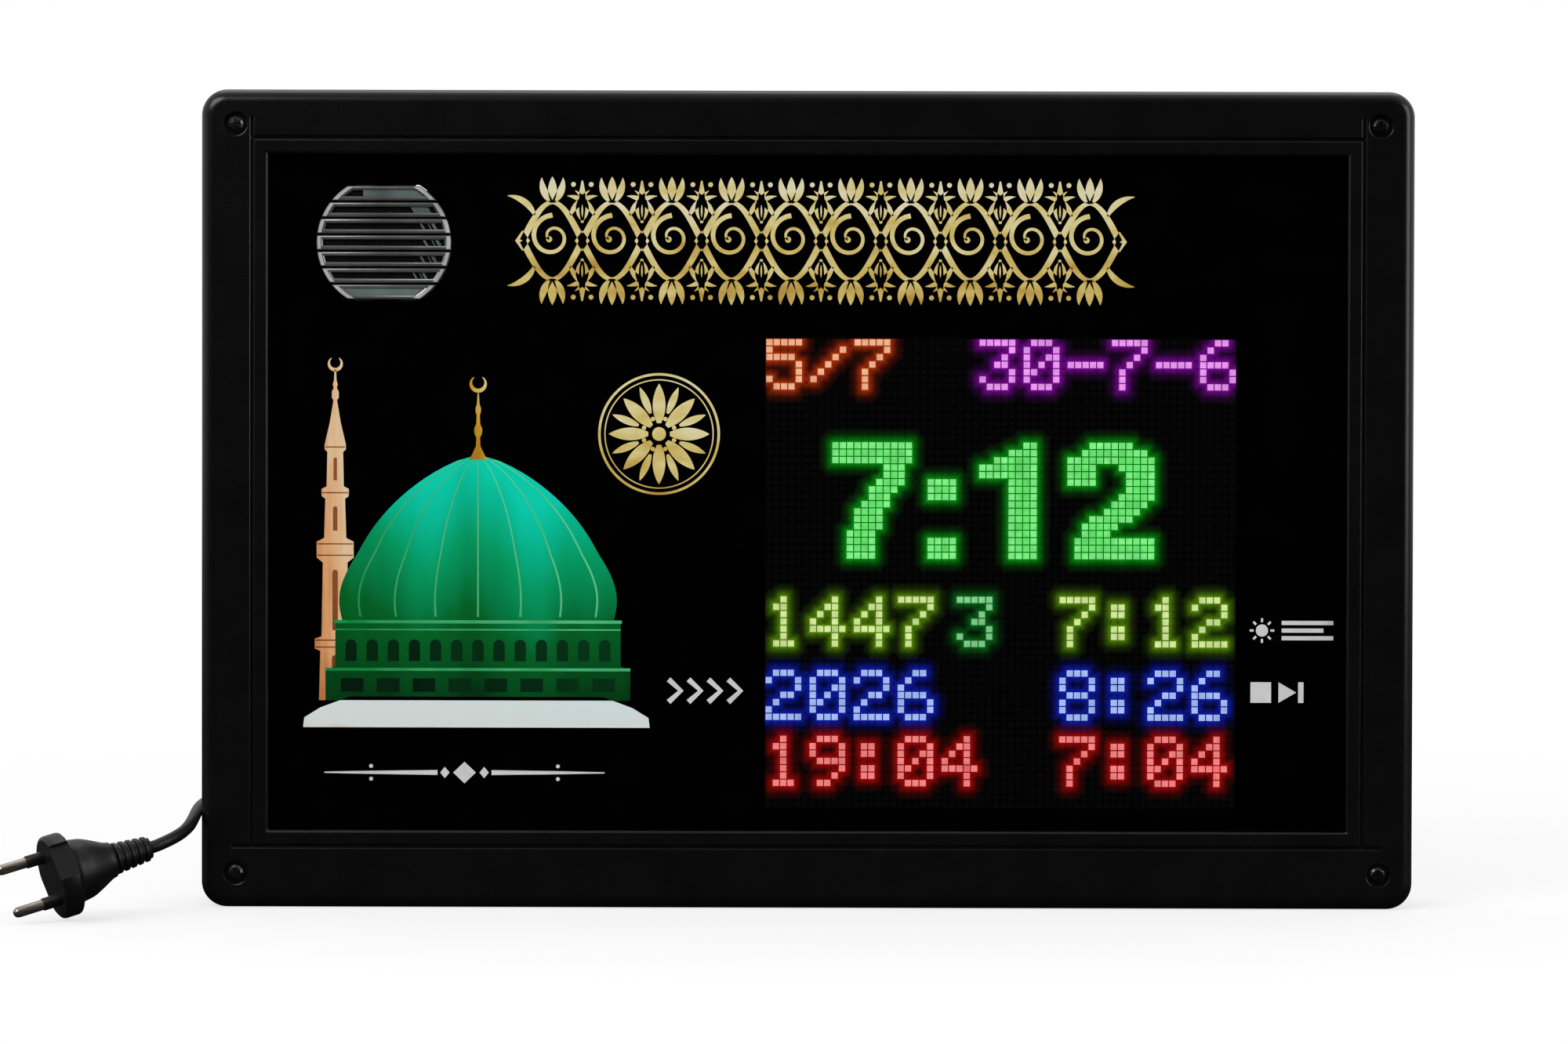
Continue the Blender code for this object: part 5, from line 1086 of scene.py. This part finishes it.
def grille():
    """Seven sunk bars over a dark backing plate, with strips of brighter chrome at their ends as painted
    highlights and patches of tinted chrome in their troughs as painted reflections.
    """
    front = GRILLE_LOW.y + CAP_RISE
    pitch = 2 * GRILLE_HALF / GRILLE_BARS
    bars, highlight_caps, dark, reflection_slats = [bmesh.new() for _ in range(4)]

    def slab(bm, outline, start, end):
        """A plate between two shares of the bars' depth."""
        add_plate(bm, outline, front + BAR_SINK * start, front + BAR_SINK * end)

    for index in range(GRILLE_BARS):
        low = -GRILLE_HALF + index * pitch + BAR_GAP / 2
        high = low + pitch - BAR_GAP
        rings = [loop_at(bars, bar_outline(low, high, 0.0), GRILLE_HIGH.y, MM)]
        for share, sink in BAR_PROFILE:
            rings.append(loop_at(bars, bar_outline(low, high, share), front + BAR_SINK * sink, MM))
        for here, there in zip(rings, rings[1:]):
            bridge(bars, here, there)
        bars.faces.new(rings[0])
        for side in (-1, 1):
            # Painted highlight strips at both rim ends of each bar.
            add_plate(highlight_caps, bar_highlight_strip(low, high, side), GRILLE_LOW.y, front + 0.3 * MM)
        trough = bar_outline(low, high, 1.0)
        slab(dark, trough, 0.96, 1.3)
        # Painted reflection: the bottom bar's whole trough, the top bar's right part, and slanted patches on
        # the right of the others.
        if index == 0:
            slab(reflection_slats, trough, 0.3, 0.95)
        elif index == GRILLE_BARS - 1:
            shine = [(x, z) for x, z in trough if x > GRILLE_MIDDLE[0]]
            start = GRILLE_MIDDLE[0] + TOP_REFLECTION_START
            slab(reflection_slats, [*shine, (start, shine[-1][1]), (start, shine[0][1])], 0.3, 0.95)
        else:
            reach = math.sqrt((GRILLE_RADIUS - BAR_END) ** 2 - max(abs(low), abs(high)) ** 2)
            slant = 0.25 * (high - low)
            foot, head = GRILLE_MIDDLE[1] + low + BAR_EDGE, GRILLE_MIDDLE[1] + high - BAR_EDGE
            # Slanted painted reflections, and a thin painted highlight strip between them.
            shapes = ((reflection_slats, 0.84, 0.96), (highlight_caps, 0.86, 0.9), (reflection_slats, 0.7, 0.74))
            if index == GRILLE_BARS - 2:
                shapes = ((reflection_slats, 0.66, 1.04),)
            for target, start, end in shapes:
                near, far = GRILLE_MIDDLE[0] + reach * start, GRILLE_MIDDLE[0] + reach * end
                slab(target, [(near, foot), (far, foot), (far - slant, head), (near - slant, head)], 0.62, 1.0)
    rim = bar_outline(-GRILLE_HALF, GRILLE_HALF, 0.25)
    add_plate(dark, rim, front + 3.2 * MM, GRILLE_HIGH.y - 0.1 * MM)
    piece("grille_bars", bars, CHROME, 35.0, ("speaker_grille",))
    piece("grille_highlight_caps", highlight_caps, HIGHLIGHT_CHROME)
    piece("grille_reflection_slats", reflection_slats, REFLECTION_CHROME)
    inside = plastic("grille_dark", grey(3), grey(9), (0.2, 0.35), 0.02, 0.4)
    piece("grille_floor", dark, inside)


# The cord, from the gland to the plug

CORD_DIAMETER = 5 * MM
CASE_LEFT = Vector((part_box("left_rail")[0].x, 0.0, 0.0))
COIL_MIDDLE = (-165 * MM, 86 * MM)
COIL_OUTER_RADIUS = 37.5 * MM
COIL_TURN_PITCH = 5.6 * MM
COIL_TURNS_PER_LAYER = 3
COIL_POINTS_PER_TURN = 48
COIL_LOW = 3.7 * MM
PLUG_TAIL = CASE_LEFT + Vector((-15.7, -50.5, 27.1)) * MM
PLUG_FACE = CASE_LEFT + Vector((-51.6, -68.9, 16.8)) * MM
PLUG_ROLL_DEGREES = 31
RELIEF_LENGTH = 15
CORD_GAP = 0.3 * MM
LEAD_ROUTE = [
    (142, 66, 57), (141.9, 77, 53.4), (141.4, 87, 47.4), (140.4, 95.5, 39.6), (138.6, 102.6, 30.8),
    (135.4, 108.8, 22), (130.2, 114.4, 14.2), (122.6, 119, 8.2), (113, 122, 4.9), (102, 123.4, 3.8),
]
TAIL_ROUTE = [
    (60, 123.2, 10.4), (43.5, 120.2, 13.8), (27.5, 112.2, 18.2), (14.2, 99.8, 23.2), (4.4, 83, 28.2),
    (-1.4, 64, 32.6), (-4, 44, 36), (-4.4, 24, 38.4), (-3.8, 5, 38.9), (-3.2, -10, 37.9),
    (-2.8, -21, 36.3), (-3, -30.5, 34.2), (-4.9, -38.6, 31.9), (-8.6, -45, 29.8),
]


def smooth_route(points, spacing):
    """A smooth curve through the points, with its first and last steps straight."""
    found = [points[0]]
    for index in range(len(points) - 3):
        before, here, there, after = points[index : index + 4]
        count = max(2, round((there - here).length / spacing))
        for step in range(count):
            t = step / count
            found.append(
                0.5
                * (
                    2 * here
                    + (there - before) * t
                    + (2 * before - 5 * here + 4 * there - after) * t**2
                    + (3 * here - before - 3 * there + after) * t**3
                )
            )
    return found + [points[-2], points[-1]]


def coil_line():
    """The coil's centreline: three turns in, a climb, and three turns out above them."""
    turns = 2 * COIL_TURNS_PER_LAYER
    points = []
    for index in range(turns * COIL_POINTS_PER_TURN + 1):
        turn = index / COIL_POINTS_PER_TURN
        inward = min(turn, turns - turn)
        radius = COIL_OUTER_RADIUS - COIL_TURN_PITCH * inward
        climb = min(1.0, max(0.0, (turn - COIL_TURNS_PER_LAYER) * 2 + 0.5))
        rise = COIL_TURN_PITCH * climb**2 * (3 - 2 * climb)
        angle = 2 * math.pi * turn + math.pi / 2
        across = Vector((math.cos(angle), math.sin(angle), 0.0)) * radius
        points.append(Vector((*COIL_MIDDLE, COIL_LOW + rise)) + across)
    return points


def cord():
    """The whole mains lead as one smooth tube."""
    gland_low, gland_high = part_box("cord_gland")
    tip = Vector(((gland_low.x + gland_high.x) / 2, gland_high.y, (gland_low.z + gland_high.z) / 2))
    out = Vector((0.0, CORD_DIAMETER, 0.0))
    coil = coil_line()
    into = (coil[0] - coil[1]).normalized() * CORD_DIAMETER
    leaving = (coil[-1] - coil[-2]).normalized() * CORD_DIAMETER
    lead_route = [CASE_LEFT + Vector(point) * MM for point in LEAD_ROUTE]
    tail_route = [CASE_LEFT + Vector(point) * MM for point in TAIL_ROUTE]
    start = tip + Vector((0.0, CORD_GAP, 0.0))
    axis = (PLUG_FACE - PLUG_TAIL).normalized()
    end = PLUG_TAIL - axis * CORD_GAP
    lead = [start, start + out, start + out * 2.4, *lead_route, coil[0] + into * 2, coil[0] + into]
    tail = [coil[-1] + leaving, coil[-1] + leaving * 2, *tail_route, end - axis * CORD_DIAMETER / 2, end]
    line = smooth_route(lead, 4 * MM) + coil + smooth_route(tail, 4 * MM)
    data = bpy.data.curves.new("mains_cord", "CURVE")
    data.dimensions = "3D"
    data.bevel_depth = CORD_DIAMETER / 2
    data.bevel_resolution = 5
    data.use_fill_caps = True
    spline = data.splines.new("POLY")
    spline.points.add(len(line) - 1)
    for point, place in zip(spline.points, line):
        point.co = (*place, 1.0)
    spline.use_smooth = True
    made = placed("mains_cord", data)
    data.materials.append(CORD_PLASTIC)
    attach(made, "case")
    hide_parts("cord_lead", "cord_coil", "cord_tail")
    length = sum((there - here).length for here, there in zip(line, line[1:]))
    return made, start, length


# The plug, along its own axis: radius and height in millimetres

SHELL_PROFILE = (
    (0.0, 0.0), (14.8, 0.0), (15.8, -0.2), (16.5, -0.7), (16.8, -1.5), (16.8, -6.6), (16.5, -7.4),
    (15.8, -7.9), (14.2, -8.3), (13.2, -9.0), (12.7, -10.2), (12.4, -12.0), (12.0, -14.2), (11.3, -16.2),
    (10.3, -18.3), (9.3, -20.3), (8.4, -22.0), (7.7, -23.4), (7.3, -24.6),
)
NOTCH = ((13.4 * MM, -7.5 * MM, -9.5 * MM), (20 * MM, 7.5 * MM, 2 * MM))
RELIEF_RIBS = 5
RELIEF_RADII = (6.4, 4.9)
RIB_PROFILE = ((0.0, 0.35), (0.08, 0.0), (0.5, 0.0), (0.58, 0.2), (0.66, 0.8), (0.92, 0.8))
PIN_STEP = 9.5 * MM
PIN_PROFILE = (
    (0.0, 19.0), (0.7, 18.9), (1.4, 18.5), (1.9, 17.8), (2.1, 16.9), (2.1, 7.0), (1.9, 6.9), (0.0, 6.9),
)
PIN_SLEEVE_PROFILE = ((0.0, 7.0), (2.3, 7.0), (2.5, 6.7), (2.5, 0.1), (0.0, 0.1))


def plug():
    """Body with a notched flange and a ribbed grip, sleeve with ring grooves, and two pins."""
    along = (PLUG_FACE - PLUG_TAIL).normalized()
    turn = along.to_track_quat("Z", "Y").to_matrix().to_4x4()
    roll = Matrix.Rotation(math.radians(PLUG_ROLL_DEGREES), 4, "Z")
    place = Matrix.Translation(PLUG_FACE) @ turn @ roll
    gap = CORD_GAP / MM
    back = (PLUG_FACE - PLUG_TAIL).length / MM - RELIEF_LENGTH - gap

    def lathed(name, profile, sides, step=0.0, look=PLUG_PLASTIC, replaces=()):
        bm = bmesh.new()
        turned(bm, profile, place @ Matrix.Translation((0.0, step, 0.0)), sides)
        return piece(name, bm, look, 35.0, replaces)

    shell = [*SHELL_PROFILE, (7.1, 0.8 - back), (6.5, 0.2 - back), (5.8, -back), (0.0, -back)]
    body = lathed("plug_shell", shell, 64, replaces=("plug_body",))
    cutters = bmesh.new()
    low, high = Vector(NOTCH[0]), Vector(NOTCH[1])
    for angle in (math.pi, 0.0):
        box = Matrix.Translation((low + high) / 2) @ Matrix.Diagonal((*(high - low), 1))
        bmesh.ops.create_cube(cutters, size=1, matrix=place @ Matrix.Rotation(angle, 4, "Z") @ box)
    cut(body, (cutters,))
    body.data.shade_smooth()
    body.data.set_sharp_from_angle(angle=math.radians(38))

    start = -back - gap
    rings = [(0.0, start)]
    for rib in range(RELIEF_RIBS):
        for share, drop in RIB_PROFILE:
            reach = (rib + share) / RELIEF_RIBS
            radius = RELIEF_RADII[0] + (RELIEF_RADII[1] - RELIEF_RADII[0]) * reach - drop
            rings.append((radius, start - RELIEF_LENGTH * reach))
    rings += [(4.2, start - RELIEF_LENGTH * 0.995), (0.0, start - RELIEF_LENGTH * 0.995)]
    pieces = [body, lathed("plug_sleeve", rings, 40, replaces=("plug_relief",))]
    for name, step in (("pin_upper", PIN_STEP), ("pin_lower", -PIN_STEP)):
        pieces.append(lathed(name, PIN_PROFILE, 32, step, PIN_METAL, ("plug_" + name,)))
        pieces.append(lathed(name + "_sleeve", PIN_SLEEVE_PROFILE, 32, step))
    return pieces


# Finishes of the part's own pieces, by how their names start; all that isn't here is case plastic

CLEAR = soft("clear_acrylic", 30.0, ((0.0, grey(0)), (1.0, grey(4))), (0.03, 0.06), Alpha=0.04)
FINISHES = (
    (SCREW_METAL, ("corner_screw", "cover_screw")),
    (ZINC, ("corner_bracket", "speaker_basket", "hanger", "volume_pot")),
    (CLEAR, ("acrylic_front",)),
    (FILM, ("printed_film",)),
    (MASK, ("led_mask",)),
    (CIRCUIT, ("led_board", "button_board", "controller_board", "amplifier_board")),
    (MAGNET, ("speaker_magnet",)),
    (RUBBER, ("speaker_surround", "coil_tie")),
    (PAPER, ("speaker_cone",)),
    (COVER_PLASTIC, ("rear_cover",)),
    (CONTROL_PLASTIC, ("button_", "volume_knob")),
    (SUPPLY_METAL, ("power_supply",)),
    (CELL_METAL, ("backup_cell",)),
    (RIBBON, ("ribbon_cable",)),
    (RED_WIRE, ("wire_red",)),
    (BLACK_WIRE, ("wire_black", "mains_wire")),
    (PLUG_PLASTIC, ("cord_gland",)),
    (CASE_PLASTIC, ("",)),
)


def dress(name, node):
    """Gives a part's own piece its finish and smooth shading over its rounded faces."""
    look = next(look for look, starts in FINISHES if name.startswith(starts))
    node.data.materials.clear()
    node.data.materials.append(look)
    node.modifiers.new("weld", "WELD").merge_threshold = 0.002 * MM
    node.modifiers.new("edges", "WEIGHTED_NORMAL").keep_sharp = True


# Floor, light and camera

CAMERA_PLACE = Vector((0.0, -1.623, 0.188))
CAMERA_PITCH_DEGREES = -0.8
CAMERA_ROLL_DEGREES = 0.14
CAMERA_LENS = 90.74
CAMERA_SHIFT = (-0.015, -0.0135)
FLOOR_SIZE = 12.0
FLOOR_ALBEDO = 0.95
FLOOR_IN_GLOSS = 0.12
FLOOR_DROP = 0.05 * MM
FLOOR_WHITE_SHARES = (0.7, 1.0)
FLOOR_WHITE_REACH = (0.3, 1.1)
ROOM_GLOSS = (0.02, 0.75)
ROOM_GLOSS_REACH = (-0.9, -0.1)
ROOM_LIGHT = 0.62
LAMPS = (
    ("key", (-1.3, -1.5, 1.5), (0.0, 0.0, 0.15), (1.4, 1.0), 26.0),
    ("side", (1.6, -0.9, 0.7), (0.0, 0.0, 0.15), (0.8, 1.2), 10.0),
    ("top", (0.0, 0.5, 1.6), (0.0, 0.0, 0.1), (1.6, 0.8), 6.0),
)


def floor():
    """A pale floor that keeps the object's shadow near it and turns to plain white far off."""
    bm = bmesh.new()
    bmesh.ops.create_grid(bm, x_segments=2, y_segments=2, size=FLOOR_SIZE / 2)
    bmesh.ops.translate(bm, vec=(0.0, 0.0, -FLOOR_DROP), verts=bm.verts)
    made = meshed("floor", bm)
    look = bpy.data.materials.new("floor")
    nodes = Nodes(look, clear=True)
    distance = nodes.node("VectorMath", {0: nodes.place}, operation="LENGTH").outputs["Value"]
    fade = nodes.spread(distance, *FLOOR_WHITE_SHARES, *FLOOR_WHITE_REACH, interpolation_type="SMOOTHSTEP")
    path = nodes.node("LightPath").outputs
    tone = nodes.spread(path["Is Glossy Ray"], FLOOR_ALBEDO, FLOOR_IN_GLOSS)
    matte = nodes.node("BsdfDiffuse", {"Color": tone}).outputs["BSDF"]
    light = nodes.node("Emission", {"Strength": nodes.seen(path)}).outputs["Emission"]
    nodes.node("OutputMaterial", {"Surface": nodes.between(fade, matte, light)})
    made.data.materials.append(look)


def world():
    """White where the camera sees it; a plain grey room as light, dim in front of the face."""
    made = bpy.data.worlds.new("room")
    bpy.context.scene.world = made
    nodes = Nodes(made, "Generated", clear=True)
    path = nodes.node("LightPath").outputs
    behind = nodes.spread(nodes.axis("Y"), *ROOM_GLOSS, *ROOM_GLOSS_REACH, interpolation_type="SMOOTHSTEP")
    plain, gloss, white = [
        nodes.node("Background", {"Color": linear(grey(255)), "Strength": strength}).outputs["Background"]
        for strength in (ROOM_LIGHT, behind, 1.0)
    ]
    room = nodes.between(path["Is Glossy Ray"], plain, gloss)
    nodes.node("OutputWorld", {"Surface": nodes.between(nodes.seen(path), room, white)})


def lamp(name, place, aim, size, power):
    """A soft square lamp that looks at a point."""
    data = bpy.data.lights.new(name, "AREA")
    data.shape = "RECTANGLE"
    data.size, data.size_y = size
    data.energy = power
    made = placed(name, data)
    made.location = place
    made.rotation_mode = "QUATERNION"
    made.rotation_quaternion = (Vector(aim) - Vector(place)).to_track_quat("-Z", "Y")


def camera():
    """The photograph's view."""
    data = bpy.data.cameras.new("camera")
    data.lens = CAMERA_LENS
    data.sensor_width = 36.0
    data.shift_x, data.shift_y = CAMERA_SHIFT
    data.clip_start = 0.05
    data.clip_end = 50.0
    made = placed("camera", data)
    level = Matrix.Rotation(math.radians(90 + CAMERA_PITCH_DEGREES), 4, "X")
    roll = Matrix.Rotation(math.radians(CAMERA_ROLL_DEGREES), 4, "Z")
    made.matrix_world = Matrix.Translation(CAMERA_PLACE) @ level @ roll
    bpy.context.scene.camera = made


for node_name, node in CAD_NODES.items():
    dress(node_name, node)
mains_cord, cord_start, cord_length = cord()
plug_pieces = plug()
frame_pieces()
display()
gold_band()
gold_seal()
picture()
signs()
grille()
floor()
world()
for settings in LAMPS:
    lamp(*settings)
camera()
bpy.context.scene.view_settings.view_transform = "Standard"
